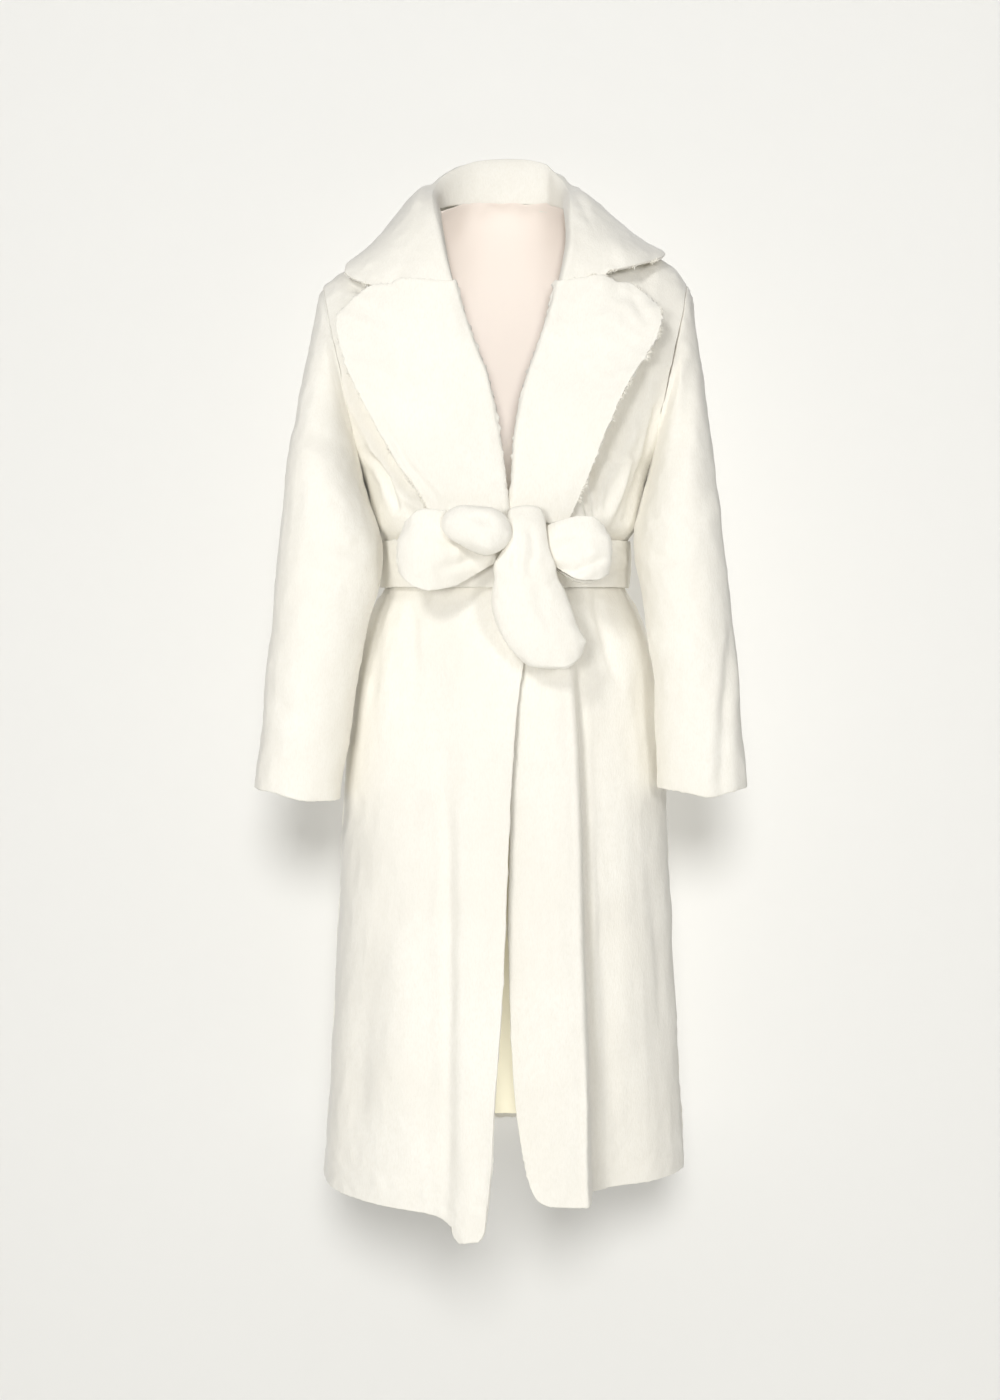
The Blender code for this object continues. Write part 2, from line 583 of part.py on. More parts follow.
def front_place(side, level, fraction):
    """Point of a front's wearer side and the outward normal there."""
    kind, value = level
    low_fraction, high_fraction = max(0.0, fraction - NORMAL_STEP), min(1.0, fraction + NORMAL_STEP)
    here = front_level(side, level, [fraction])[0]
    level_step = NORMAL_STEP if kind == "yoke" else -NORMAL_STEP
    above = front_level(side, (kind, value - level_step), [fraction])[0]
    below = front_level(side, (kind, value + level_step), [fraction])[0]
    inner, outer = front_level(side, level, [low_fraction, high_fraction])
    return here, grid_normal(above, below, inner, outer, Vector((side * 0.3, -1.0, 0.3)))


def fraction_reaching(side, level, reach):
    """Fraction across a front where it is reach from the centre."""
    low, high = 0.0, 1.0
    for _ in range(SEARCH_STEPS):
        middle = (low + high) / 2.0
        if side * front_level(side, level, [middle])[0].x < reach:
            low = middle
        else:
            high = middle
    return high


def lapel_level(side, level, column):
    """Level of a lapel row at one column: the top rows follow the lapel's top edge."""
    kind, value = level
    if kind == "height":
        return level
    top_part = value_at(LAPEL_TOP, "right_part" if side == RIGHT else "left_part", column)
    return kind, 1.0 - (1.0 - value) * (1.0 - top_part) / (1.0 - GORGE_PART)


def lapel_grid(side):
    """Turned-out lapel: its roll, then rows that lie over the front panel's outside."""
    name = "right" if side == RIGHT else "left"
    grid = []
    for level in LAPEL_ROWS:
        edge_level = lapel_level(side, level, 1.0)
        edge_fraction = LAPEL_FIRST_GUESS
        for _ in range(3):
            edge_height = front_level(side, edge_level, [edge_fraction])[0].z
            reach = value_at(LAPEL_LINE, name + "_reach", edge_height)
            edge_fraction = fraction_reaching(side, edge_level, reach)
        stand = value_at(LAPEL_LINE, name + "_stand", edge_height)
        start, normal = front_place(side, level, 0.0)
        beside, _ = front_place(side, level, 0.02)
        inward = (start - beside).normalized()
        inward = (inward - normal * inward.dot(normal)).normalized()
        centre = start + normal * (PLUSH_WALL + ROLL_RADIUS) + inward * SEAM_GAP
        row = []
        for step in range(ROLL_STEPS + 1):
            angle = math.pi * step / ROLL_STEPS
            round_roll = inward * math.sin(angle) - normal * math.cos(angle)
            row.append(centre + round_roll * ROLL_RADIUS)
        for column in LAPEL_COLUMNS:
            point, outward = front_place(side, lapel_level(side, level, column), column * edge_fraction)
            row.append(point + outward * (PLUSH_WALL + 2.0 * ROLL_RADIUS + stand * column**LAPEL_LIFT_POWER))
        grid.append(row)
    return grid


def collar_stations(side):
    """All stations of one half of the collar: round the back neck, then over the front panel."""
    stations = list(BACK_STATIONS)
    for front in RIGHT_FRONT_STATIONS if side == RIGHT else LEFT_FRONT_STATIONS:
        seam, normal = front_place(side, ("yoke", front.seam_part), 0.0)
        mid, mid_normal = front_place(side, ("yoke", front.mid_part), front.mid_across)
        edge, edge_normal = front_place(side, ("yoke", front.edge_part), front.edge_across)
        points = [
            seam + normal * (PLUSH_WALL + COLLAR_CLEAR),
            seam + normal * (PLUSH_WALL + front.crest_lift),
            mid + mid_normal * (PLUSH_WALL + front.lift),
            edge + edge_normal * (PLUSH_WALL + front.lift),
        ]
        stations.append(Station(front.row, *[(side * point.x, point.y, point.z) for point in points]))
    return stations


def collar_row(stations, number, side):
    """One section of the collar: row 0 at the centre back, the last one at the front end."""

    def named_point(column):
        """Station column as a point, smooth along the stations."""
        axes = []
        for axis in range(3):
            samples = [Sample(station.row, getattr(station, column)[axis]) for station in stations]
            axes.append(value_at(samples, "value", number))
        return Vector((side * axes[0], axes[1], axes[2]))

    seam, crest, mid, edge = (named_point(column) for column in ("seam", "crest", "mid", "edge"))
    out = mid - crest
    out.z = 0.0
    out.normalize()
    row = [seam.lerp(crest, step / STAND_COLUMNS) for step in range(STAND_COLUMNS)]
    for angle in CREST_TURNS:
        turn = math.radians(angle)
        over = out * (1.0 - math.cos(turn)) + Vector((0.0, 0.0, math.sin(turn)))
        row.append(crest + over * CREST_RADIUS)
    start = row[-1]
    for step in range(1, FALL_COLUMNS + 1):
        t = step / FALL_COLUMNS
        through = mid * 2.0 - (start + edge) * 0.5
        row.append(start * (1.0 - t) ** 2 + through * (2.0 * t * (1.0 - t)) + edge * t * t)
    return row


def collar_grid():
    """Collar rows from the wearer's right front end round the neck to the left one."""
    right, left = collar_stations(RIGHT), collar_stations(LEFT)
    grid = [collar_row(right, number, RIGHT) for number in range(COLLAR_ROWS, 0, -1)]
    grid += [collar_row(left, number, LEFT) for number in range(COLLAR_ROWS + 1)]
    return grid


def sleeve_grid(side):
    """Sleeve rings from the armhole to the cuff."""
    grid = []
    first = []
    for step in range(SLEEVE_SIDES):
        angle = 2.0 * math.pi * step / SLEEVE_SIDES
        low = (1.0 - math.cos(angle)) / 2.0
        clear = SEAM_GAP + ARMHOLE_CLEAR * low**3 + ARMHOLE_EASE * math.sin(angle) ** 2
        across = ARMHOLE_CENTRE_X + ARMHOLE_LEAN * math.cos(angle) + clear
        depth = ARMHOLE_HALF_DEPTH * math.sin(angle)
        height = ARMHOLE_CENTRE_Z + ARMHOLE_HALF_HEIGHT * math.cos(angle)
        first.append(Vector((side * across, -depth, height)))
    grid.append(first)
    for ring in RIGHT_SLEEVE_RINGS if side == RIGHT else LEFT_SLEEVE_RINGS:
        outer = Vector((ring.outer_x - PLUSH_WALL, ring.middle_y, ring.outer_z))
        inner = Vector((ring.inner_x + PLUSH_WALL, ring.middle_y, ring.inner_z))
        centre = (outer + inner) / 2.0
        toward_outer = (outer - inner) / 2.0
        half_depth = ring.half_depth - PLUSH_WALL
        row = []
        for step in range(SLEEVE_SIDES):
            angle = 2.0 * math.pi * step / SLEEVE_SIDES
            point = centre + toward_outer * math.cos(angle)
            point.y -= half_depth * math.sin(angle)
            point.x *= side
            row.append(point)
        grid.append(row)
    return grid


def belt_grid():
    """Belt rows, lowest level first, each once round the waist."""
    grid = []
    middle = (BELT_LEVELS[0] + BELT_LEVELS[-1]) / 2.0
    half_height = (BELT_LEVELS[0] - BELT_LEVELS[-1]) / 2.0
    waist = BELT_LEVELS[len(BELT_LEVELS) // 2]
    power = 2.0 / value_at(SECTIONS, "roundness", waist)
    widest = max(value_at(SECTIONS, "half_width", level) for level in BELT_LEVELS) + BELT_CLEAR_SIDE
    front = max(value_at(SECTIONS, "right_front", level) for level in BELT_LEVELS) + BELT_CLEAR_FRONT
    back = max(value_at(SECTIONS, "back", level) for level in BELT_LEVELS) + BELT_CLEAR_SIDE
    for level in BELT_LEVELS:
        puff = BELT_PUFF * (1.0 - ((level - middle) / half_height) ** 2)
        row = []
        for step in range(BELT_SIDES):
            angle = 2.0 * math.pi * step / BELT_SIDES
            sine, cosine = math.sin(angle), math.cos(angle)
            depth = front if cosine > 0.0 else back
            across = (widest + puff) * signed_power(sine, power)
            row.append(Vector((across, -(depth + puff) * signed_power(cosine, power), level)))
        grid.append(row)
    return grid


def puff_rings(rings):
    """Rings of a padded piece, square to its path."""
    centres = [Vector((ring.x, ring.y, ring.z)) for ring in rings]
    grid = []
    for k, ring in enumerate(rings):
        along = (centres[min(k + 1, len(rings) - 1)] - centres[max(k - 1, 0)]).normalized()
        depth_way = Vector((0.0, -1.0, 0.0))
        depth_way = (depth_way - along * depth_way.dot(along)).normalized()
        height_way = depth_way.cross(along).normalized()
        row = []
        for step in range(PUFF_SIDES):
            angle = 2.0 * math.pi * step / PUFF_SIDES
            offset = height_way * (ring.half_height * math.cos(angle))
            offset += depth_way * (ring.half_depth * signed_power(math.sin(angle), PUFF_SQUARENESS))
            row.append(centres[k] + offset)
        grid.append(row)
    return grid


def loop_grid(bends):
    """Rows of a bow loop's band along its path."""
    path = []
    for k in range(len(bends) - 1):
        for step in range(LOOP_STEPS):
            path.append(k + step / LOOP_STEPS)
    path.append(len(bends) - 1.0)
    table = [LoopSample(float(k), *bend) for k, bend in enumerate(bends)]
    grid = []
    for place in path:
        centre = Vector(tuple(value_at(table, column, place) for column in ("x", "y", "z")))
        ahead = Vector(tuple(value_at(table, column, place + PATH_STEP) for column in ("x", "y", "z")))
        behind = Vector(tuple(value_at(table, column, place - PATH_STEP) for column in ("x", "y", "z")))
        along = (ahead - behind).normalized()
        outward = along.cross(Vector((0.0, 0.0, 1.0))).normalized()
        if bends[0].x < 0.0:
            outward = -outward
        half_height = value_at(table, "half_height", place)
        row = []
        for step in range(LOOP_ACROSS + 1):
            t = 2.0 * step / LOOP_ACROSS - 1.0
            bulge = LOOP_PUFF * math.sqrt(max(0.0, 1.0 - t * t)) - LOOP_PUFF
            row.append(centre + Vector((0.0, 0.0, half_height * t)) + outward * bulge)
        grid.append(row)
    return grid


def add_mesh(collection, name, points, faces, material):
    """Mesh object with one material in the coat's collection."""
    mesh = bpy.data.meshes.new(name)
    mesh.from_pydata(points, [], faces)
    mesh.materials.append(material)
    new_object = bpy.data.objects.new(name, mesh)
    collection.objects.link(new_object)
    return new_object


def grid_faces(rows, columns, closed, flip):
    """Quads between the rows of a grid. A closed grid's last column meets its first one."""
    faces = []
    for i in range(rows - 1):
        for j in range(columns if closed else columns - 1):
            right = (j + 1) % columns
            face = [i * columns + j, (i + 1) * columns + j, (i + 1) * columns + right, i * columns + right]
            faces.append(face[::-1] if flip else face)
    return faces


def add_cloth(collection, name, grid, wall, material, closed=False, flip=False):
    """Cloth piece: an open surface with its wall added outwards by Solidify."""
    points = [point for row in grid for point in row]
    faces = grid_faces(len(grid), len(grid[0]), closed, flip)
    cloth = add_mesh(collection, name, points, faces, material)
    solidify = cloth.modifiers.new("wall", "SOLIDIFY")
    solidify.thickness = wall
    solidify.offset = 1.0
    return cloth


def add_puff(collection, name, rings, material):
    """Padded piece: a closed form through rings, with a cap at each end."""
    grid = puff_rings(rings)
    points = [point for row in grid for point in row]
    faces = grid_faces(len(grid), PUFF_SIDES, True, True)
    last = (len(grid) - 1) * PUFF_SIDES
    faces.append(list(range(PUFF_SIDES - 1, -1, -1)))
    faces.append([last + k for k in range(PUFF_SIDES)])
    return add_mesh(collection, name, points, faces, material)


def lining_grid(back):
    """Lining inside the back: the back's own points, moved in, and short of the side seams and the hem."""
    grid = []
    rows, columns = len(back), len(back[0])
    for i in range(rows - 3):
        row = []
        for j in range(columns):
            above, below = back[max(i - 1, 0)][j], back[min(i + 1, rows - 1)][j]
            before, after = back[i][max(j - 1, 0)], back[i][min(j + 1, columns - 1)]
            outward = Vector((back[i][j].x * 0.5, 1.0, 0.3))
            normal = grid_normal(above, below, before, after, outward)
            row.append(back[i][j] - normal * (LINING_GAP + LINING_WALL))
        row[0] = row[1].lerp(row[0], LINING_REACH)
        row[-1] = row[-2].lerp(row[-1], LINING_REACH)
        grid.append(row)
    return grid


def build_coat():
    """Make every piece of the coat."""
    remove_scene_objects()
    coat = bpy.data.collections.new(OBJECT_NAME)
    bpy.context.scene.collection.children.link(coat)
    plush = cloth_material("plush", (0.90, 0.87, 0.80, 1.0), 0.95, 0.5)
    belt_plush = cloth_material("belt_plush", (0.90, 0.87, 0.80, 1.0), 0.95, 0.5)
    collar_plush = cloth_material("collar_plush", (0.91, 0.88, 0.81, 1.0), 0.95, 0.5)
    lining = cloth_material("lining", (0.90, 0.84, 0.74, 1.0), 0.6, 0.1)

    back = back_grid()
    add_cloth(coat, "back", back, PLUSH_WALL, plush, flip=True)
    add_cloth(coat, "back_lining", lining_grid(back), LINING_WALL, lining, flip=True)
    add_cloth(coat, "right_front", front_grid(RIGHT), PLUSH_WALL, plush, flip=True)
    add_cloth(coat, "left_front", front_grid(LEFT), PLUSH_WALL, plush)
    add_cloth(coat, "right_sleeve", sleeve_grid(RIGHT), PLUSH_WALL, plush, closed=True)
    add_cloth(coat, "left_sleeve", sleeve_grid(LEFT), PLUSH_WALL, plush, closed=True, flip=True)
    add_cloth(coat, "right_lapel", lapel_grid(RIGHT), LAPEL_WALL, collar_plush, flip=True)
    add_cloth(coat, "left_lapel", lapel_grid(LEFT), LAPEL_WALL, collar_plush)
    add_cloth(coat, "collar", collar_grid(), COLLAR_WALL, collar_plush)
    add_cloth(coat, "belt_band", belt_grid(), BELT_WALL, belt_plush, closed=True)
    add_cloth(coat, "belt_right_loop", loop_grid(RIGHT_LOOP), LOOP_WALL, belt_plush, flip=True)
    add_cloth(coat, "belt_left_loop", loop_grid(LEFT_LOOP), LOOP_WALL, belt_plush)
    add_puff(coat, "belt_knot", KNOT_RINGS, belt_plush)
    add_puff(coat, "belt_tail", TAIL_RINGS, belt_plush)


build_coat()
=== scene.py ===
# %% [markdown]
# # A plush wrap coat, filled out as if worn
#
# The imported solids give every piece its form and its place. This script makes a finer piece of
# cloth over each solid: smooth curves, creases set by hand, the clumps of a short pile, and
# frayed edges. Then it gives each piece its plush or lining cloth, and sets the camera and lights.
#
# Metres, +Z up. The wearer faces -Y, and the wearer's left is +X.

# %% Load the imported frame
import math
from collections import namedtuple

import bpy
import numpy as np
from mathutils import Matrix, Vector
from mathutils.bvhtree import BVHTree


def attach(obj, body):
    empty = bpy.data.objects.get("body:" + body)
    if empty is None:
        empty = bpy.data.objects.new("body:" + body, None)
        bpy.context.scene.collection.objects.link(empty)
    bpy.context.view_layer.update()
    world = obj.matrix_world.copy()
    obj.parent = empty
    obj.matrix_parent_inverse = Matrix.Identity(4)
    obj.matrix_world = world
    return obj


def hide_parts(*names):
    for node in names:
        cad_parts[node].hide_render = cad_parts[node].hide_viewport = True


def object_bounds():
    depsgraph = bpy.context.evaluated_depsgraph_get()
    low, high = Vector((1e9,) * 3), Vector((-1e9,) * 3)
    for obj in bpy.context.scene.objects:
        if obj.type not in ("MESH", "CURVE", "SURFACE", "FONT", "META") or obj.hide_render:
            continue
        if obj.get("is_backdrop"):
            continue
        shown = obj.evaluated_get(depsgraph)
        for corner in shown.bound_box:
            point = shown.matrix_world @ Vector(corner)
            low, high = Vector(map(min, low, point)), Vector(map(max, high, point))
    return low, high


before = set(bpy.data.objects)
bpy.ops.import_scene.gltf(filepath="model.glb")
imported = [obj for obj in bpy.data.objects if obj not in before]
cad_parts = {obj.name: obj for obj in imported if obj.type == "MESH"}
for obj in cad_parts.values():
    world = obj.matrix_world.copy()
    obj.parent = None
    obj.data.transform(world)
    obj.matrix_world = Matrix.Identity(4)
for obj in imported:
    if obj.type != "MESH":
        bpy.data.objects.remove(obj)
cad_low, cad_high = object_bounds()
print("nodes:", ", ".join(sorted(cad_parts)))
sides = [round(1000 * (high - low)) for low, high in zip(cad_low, cad_high)]
print("the solids' box, in mm:", sides)

# %% [markdown]
# ## Camera
#
# The camera looks at the front of the coat from a little above its waist. A long lens at 2.2 m
# keeps the perspective mild. The picture is 1000 by 1400, so the sensor's 36 mm lie along its
# height.

# %% Camera
CAMERA_PLACE = (-0.00625, -2.2, -0.45)
CAMERA_PITCH = 3.576  # degrees below the horizon
FOCAL_PIXELS = 1760.0
PICTURE_HEIGHT = 1400.0
SENSOR = 36.0

camera_data = bpy.data.cameras.new("camera")
camera_data.sensor_width = SENSOR
camera_data.lens = FOCAL_PIXELS * SENSOR / PICTURE_HEIGHT
camera = bpy.data.objects.new("camera", camera_data)
bpy.context.scene.collection.objects.link(camera)
camera.location = CAMERA_PLACE
camera.rotation_euler = (math.radians(90.0 - CAMERA_PITCH), 0.0, 0.0)
bpy.context.scene.camera = camera
print("lens:", round(camera_data.lens, 2), "mm")

# %% [markdown]
# ## Backdrop and floor
#
# A pale wall stands close behind the coat and takes its soft shadow. It shows only from the
# front, and light passes through it, so that the coat's back is as well lit as its front and can
# be looked at. The floor lies below the picture.

# %% Backdrop and floor
WALL_Y = 0.235
FLOOR_Z = -1.66
STAGE_COLOUR = (0.757, 0.750, 0.722, 1.0)
STAGE_ROUGHNESS = 0.9
STAGE_SPECULAR = 0.1
STAGE_HALF = 6.0


def plain_plane(name, place, turn):
    """A square plane with its place in its mesh."""
    bpy.ops.mesh.primitive_plane_add(size=2.0 * STAGE_HALF, location=place, rotation=turn)
    plane = bpy.context.object
    plane.name = name
    bpy.ops.object.transform_apply(location=True, rotation=True, scale=True)
    plane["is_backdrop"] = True
    return plane


UPRIGHT = (math.radians(90.0), 0.0, 0.0)
wall = plain_plane("backdrop", (0.0, WALL_Y, FLOOR_Z + STAGE_HALF), UPRIGHT)
floor = plain_plane("floor", (0.0, 0.0, FLOOR_Z), (0.0, 0.0, 0.0))

def matte(name):
    """A dull pale material for the stage."""
    material = bpy.data.materials.new(name)
    material.use_nodes = True
    shader = material.node_tree.nodes["Principled BSDF"]
    shader.inputs["Base Color"].default_value = STAGE_COLOUR
    shader.inputs["Roughness"].default_value = STAGE_ROUGHNESS
    shader.inputs["Specular IOR Level"].default_value = STAGE_SPECULAR
    return material


floor.data.materials.append(matte("pale_floor"))
print("wall faces", [round(c) for c in wall.data.polygons[0].normal])

# %% [markdown]
# Only the camera sees the wall, and only from its front. All other rays pass through it.

# %% Backdrop material
wall_material = matte("pale_backdrop")
nodes, links = wall_material.node_tree.nodes, wall_material.node_tree.links
shader = nodes["Principled BSDF"]
light_path = nodes.new("ShaderNodeLightPath")
geometry = nodes.new("ShaderNodeNewGeometry")
front_only = nodes.new("ShaderNodeMath")
front_only.operation = "SUBTRACT"
front_only.use_clamp = True
clear = nodes.new("ShaderNodeBsdfTransparent")
mix = nodes.new("ShaderNodeMixShader")
links.new(light_path.outputs["Is Camera Ray"], front_only.inputs[0])
links.new(geometry.outputs["Backfacing"], front_only.inputs[1])
links.new(front_only.outputs["Value"], mix.inputs["Fac"])
links.new(clear.outputs["BSDF"], mix.inputs[1])
links.new(shader.outputs["BSDF"], mix.inputs[2])
links.new(mix.outputs["Shader"], nodes["Material Output"].inputs["Surface"])
wall.data.materials.append(wall_material)
print("backdrop nodes:", len(nodes))

# %% [markdown]
# ## Materials
#
# The plush is one recipe for the body, the collar and the belt, so it is a node group. Wide faint
# mottling follows how the pile lies. Clumps about a centimetre across lean against each other,
# and fine streaks are the hairs, which hang down. Shade is painted into the colour in the clumps'
# hollows and between the hair streaks, where the bumps are low. All of it reads object
# coordinates, so the pattern stays on the cloth.

# %% Shader tools
def new_group(name, outputs):
    """An empty node group with named outputs."""
    group = bpy.data.node_groups.new(name, "ShaderNodeTree")
    for socket_name, socket_type in outputs:
        group.interface.new_socket(name=socket_name, in_out="OUTPUT", socket_type=socket_type)
    return group


def noise_node(tree, coordinates, scale, detail, stretch=(1.0, 1.0, 1.0)):
    """Noise on object coordinates, at a scale per metre."""
    mapping = tree.nodes.new("ShaderNodeMapping")
    mapping.inputs["Scale"].default_value = stretch
    tree.links.new(coordinates, mapping.inputs["Vector"])
    noise = tree.nodes.new("ShaderNodeTexNoise")
    noise.inputs["Scale"].default_value = scale
    noise.inputs["Detail"].default_value = detail
    tree.links.new(mapping.outputs["Vector"], noise.inputs["Vector"])
    return noise.outputs["Fac"]


def range_node(tree, value, low, high, to_low, to_high):
    """A value's range mapped to another one, clamped."""
    node = tree.nodes.new("ShaderNodeMapRange")
    ends = {"From Min": low, "From Max": high, "To Min": to_low, "To Max": to_high}
    for socket, number in ends.items():
        node.inputs[socket].default_value = number
    tree.links.new(value, node.inputs["Value"])
    return node.outputs["Result"]


def colour_mix(tree, factor, first, second, blend="MIX"):
    """Two colours mixed by a value. Each is a colour or a socket."""
    node = tree.nodes.new("ShaderNodeMix")
    node.data_type = "RGBA"
    node.blend_type = blend
    tree.links.new(factor, node.inputs["Factor"])
    for socket, colour in (("A", first), ("B", second)):
        target = [s for s in node.inputs if s.name == socket and s.type == "RGBA"][0]
        if isinstance(colour, tuple):
            target.default_value = colour
        else:
            tree.links.new(colour, target)
    return [s for s in node.outputs if s.type == "RGBA"][0]


def bump_node(tree, height, strength, distance, normal=None):
    """A bump from a height, on top of another one."""
    node = tree.nodes.new("ShaderNodeBump")
    node.inputs["Strength"].default_value = strength
    node.inputs["Distance"].default_value = distance
    tree.links.new(height, node.inputs["Height"])
    if normal is not None:
        tree.links.new(normal, node.inputs["Normal"])
    return node.outputs["Normal"]


print("shader tools ready")

# %% Plush nap
PLUSH_LIGHT = (0.930, 0.905, 0.830, 1.0)
# The second tone is both the darker tone of the random mottling and painted shade in the clumps'
# hollows. The third is painted shade between the fine hair streaks.
PLUSH_MOTTLE_AND_HOLLOW_SHADE = (0.895, 0.865, 0.785, 1.0)
PLUSH_HAIR_GAP_SHADE = (0.850, 0.815, 0.725, 1.0)

MOTTLE_SCALE = 9.0  # per metre, as the two below
CLUMP_SCALE = 85.0
HAIR_SCALE = 620.0
CLUMP_STRETCH = (1.0, 1.0, 0.6)
HAIR_STRETCH = (1.0, 1.0, 0.28)  # the hairs hang down, so their streaks are long in Z

plush_group = new_group("plush_nap", [("Color", "NodeSocketColor"), ("Normal", "NodeSocketVector")])
coordinates = plush_group.nodes.new("ShaderNodeTexCoord").outputs["Object"]
mottle = noise_node(plush_group, coordinates, MOTTLE_SCALE, 2.0)
clumps = noise_node(plush_group, coordinates, CLUMP_SCALE, 3.0, CLUMP_STRETCH)
hairs = noise_node(plush_group, coordinates, HAIR_SCALE, 2.0, HAIR_STRETCH)
wide = range_node(plush_group, mottle, 0.35, 0.65, 0.0, 1.0)
clump_hollow_shade = range_node(plush_group, clumps, 0.30, 0.55, 0.55, 0.0)
between = range_node(plush_group, hairs, 0.30, 0.60, 0.45, 0.0)
tone = colour_mix(plush_group, wide, PLUSH_MOTTLE_AND_HOLLOW_SHADE, PLUSH_LIGHT)
# Painted shade: the colour turns darker in the clumps' hollows, where the clump bump is low.
tone = colour_mix(plush_group, clump_hollow_shade, tone, PLUSH_MOTTLE_AND_HOLLOW_SHADE)
# Painted shade: the colour turns darker between the fine hair streaks, where the hair bump is low.
tone = colour_mix(plush_group, between, tone, PLUSH_HAIR_GAP_SHADE)
normal = bump_node(plush_group, clumps, 0.18, 0.004)
normal = bump_node(plush_group, hairs, 0.22, 0.0012, normal)
group_output = plush_group.nodes.new("NodeGroupOutput")
plush_group.links.new(tone, group_output.inputs["Color"])
plush_group.links.new(normal, group_output.inputs["Normal"])
print("plush group nodes:", len(plush_group.nodes))


# %% Plush materials
PLUSH_ROUGHNESS = 0.95


def plush_material(name, sheen):
    """A plush cloth that uses the shared nap."""
    material = bpy.data.materials.new(name)
    material.use_nodes = True
    tree = material.node_tree
    shader = tree.nodes["Principled BSDF"]
    shader.inputs["Roughness"].default_value = PLUSH_ROUGHNESS
    shader.inputs["Specular IOR Level"].default_value = 0.15
    shader.inputs["Sheen Weight"].default_value = sheen
    shader.inputs["Sheen Roughness"].default_value = 0.5
    nap = tree.nodes.new("ShaderNodeGroup")
    nap.node_tree = plush_group
    tree.links.new(nap.outputs["Color"], shader.inputs["Base Color"])
    tree.links.new(nap.outputs["Normal"], shader.inputs["Normal"])
    return material


plush = plush_material("plush", 0.35)
collar_plush = plush_material("collar_plush", 0.40)
belt_plush = plush_material("belt_plush", 0.35)
print("plush materials:", plush.name, collar_plush.name, belt_plush.name)

# %% [markdown]
# The lining is a smooth warm cloth, pinkish at the neck and yellower lower down, with a fine weave
# and faint ripples.

# %% Lining material
LINING_NECK = (0.950, 0.855, 0.775, 1.0)
LINING_SKIRT = (0.970, 0.915, 0.710, 1.0)
SKIRT_TOP, NECK_FOOT = -0.45, -0.25  # the heights between which one tone turns into the other
WEAVE_SCALE = 1500.0
RIPPLE_SCALE = 22.0

lining = bpy.data.materials.new("lining")
lining.use_nodes = True
tree = lining.node_tree
shader = tree.nodes["Principled BSDF"]
shader.inputs["Roughness"].default_value = 0.55
shader.inputs["Specular IOR Level"].default_value = 0.3
shader.inputs["Sheen Weight"].default_value = 0.1
coordinates = tree.nodes.new("ShaderNodeTexCoord").outputs["Object"]
split = tree.nodes.new("ShaderNodeSeparateXYZ")
tree.links.new(coordinates, split.inputs["Vector"])
height = range_node(tree, split.outputs["Z"], SKIRT_TOP, NECK_FOOT, 0.0, 1.0)
tone = colour_mix(tree, height, LINING_SKIRT, LINING_NECK)
weave = noise_node(tree, coordinates, WEAVE_SCALE, 1.0, (1.0, 1.0, 0.25))
ripple = noise_node(tree, coordinates, RIPPLE_SCALE, 2.0, (1.0, 1.0, 0.35))
normal = bump_node(tree, ripple, 0.25, 0.006)
normal = bump_node(tree, weave, 0.10, 0.0004, normal)
tree.links.new(tone, shader.inputs["Base Color"])
tree.links.new(normal, shader.inputs["Normal"])
print("lining nodes:", len(tree.nodes))

# %% [markdown]
# ## Tools for cloth
#
# Each piece starts as a copy of its solid. Its doubled corners are merged, its triangles are
# joined back to quads, and a subdivision surface rounds it. The wall of the cloth turns into a
# soft rolled edge by itself.
#
# Creases and clumps then move its points. Both faces of a wall must move the same way, or the
# wall would swell and pinch, so every point moves along one outward direction for its place: away
# from the axis of the body or of the sleeve.

# %% Finer copies
SHARP_EDGE = 48.0  # degrees: only a wall's cut edge turns this much
EDGE_HOLD = 0.75
MERGE_WITHIN = 0.00001
QUAD_BEND = 50.0  # degrees, the most that two triangles of a quad may bend
QUAD_SKEW = 70.0
SUBDIVISIONS = 3
LINING_SUBDIVISIONS = 2


def finer_copy(node, levels=SUBDIVISIONS):
    """A smooth copy of a CAD node, in quads."""
    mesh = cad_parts[node].data.copy()
    mesh.materials.clear()
    piece = bpy.data.objects.new(node + "_cloth", mesh)
    bpy.context.scene.collection.objects.link(piece)
    bpy.ops.object.select_all(action="DESELECT")
    bpy.context.view_layer.objects.active = piece
    piece.select_set(True)
    if mesh.has_custom_normals:
        bpy.ops.mesh.customdata_custom_splitnormals_clear()
    bpy.ops.object.mode_set(mode="EDIT")
    bpy.ops.mesh.select_all(action="SELECT")
    bpy.ops.mesh.remove_doubles(threshold=MERGE_WITHIN)
    bend, skew = math.radians(QUAD_BEND), math.radians(QUAD_SKEW)
    bpy.ops.mesh.tris_convert_to_quads(face_threshold=bend, shape_threshold=skew)
    bpy.ops.mesh.normals_make_consistent(inside=False)
    bpy.ops.mesh.select_mode(type="EDGE")
    bpy.ops.mesh.select_all(action="DESELECT")
    bpy.ops.mesh.edges_select_sharp(sharpness=math.radians(SHARP_EDGE))
    bpy.ops.transform.edge_crease(value=EDGE_HOLD)
    bpy.ops.object.mode_set(mode="OBJECT")
    smooth = piece.modifiers.new("smooth", "SUBSURF")
    smooth.levels = levels
    smooth.render_levels = levels
    bpy.ops.object.modifier_apply(modifier="smooth")
    bpy.ops.object.shade_smooth()
    return piece


print("steps of subdivision:", SUBDIVISIONS, "and for the lining", LINING_SUBDIVISIONS)


# %% Points and outward directions
def points_of(piece, what="co"):
    """The piece's points as an array."""
    flat = np.empty(len(piece.data.vertices) * 3, np.float32)
    piece.data.vertices.foreach_get(what, flat)
    return flat.reshape(-1, 3).astype(np.float64)


def normals_of(piece):
    """The piece's point normals as an array."""
    return points_of(piece, "normal")


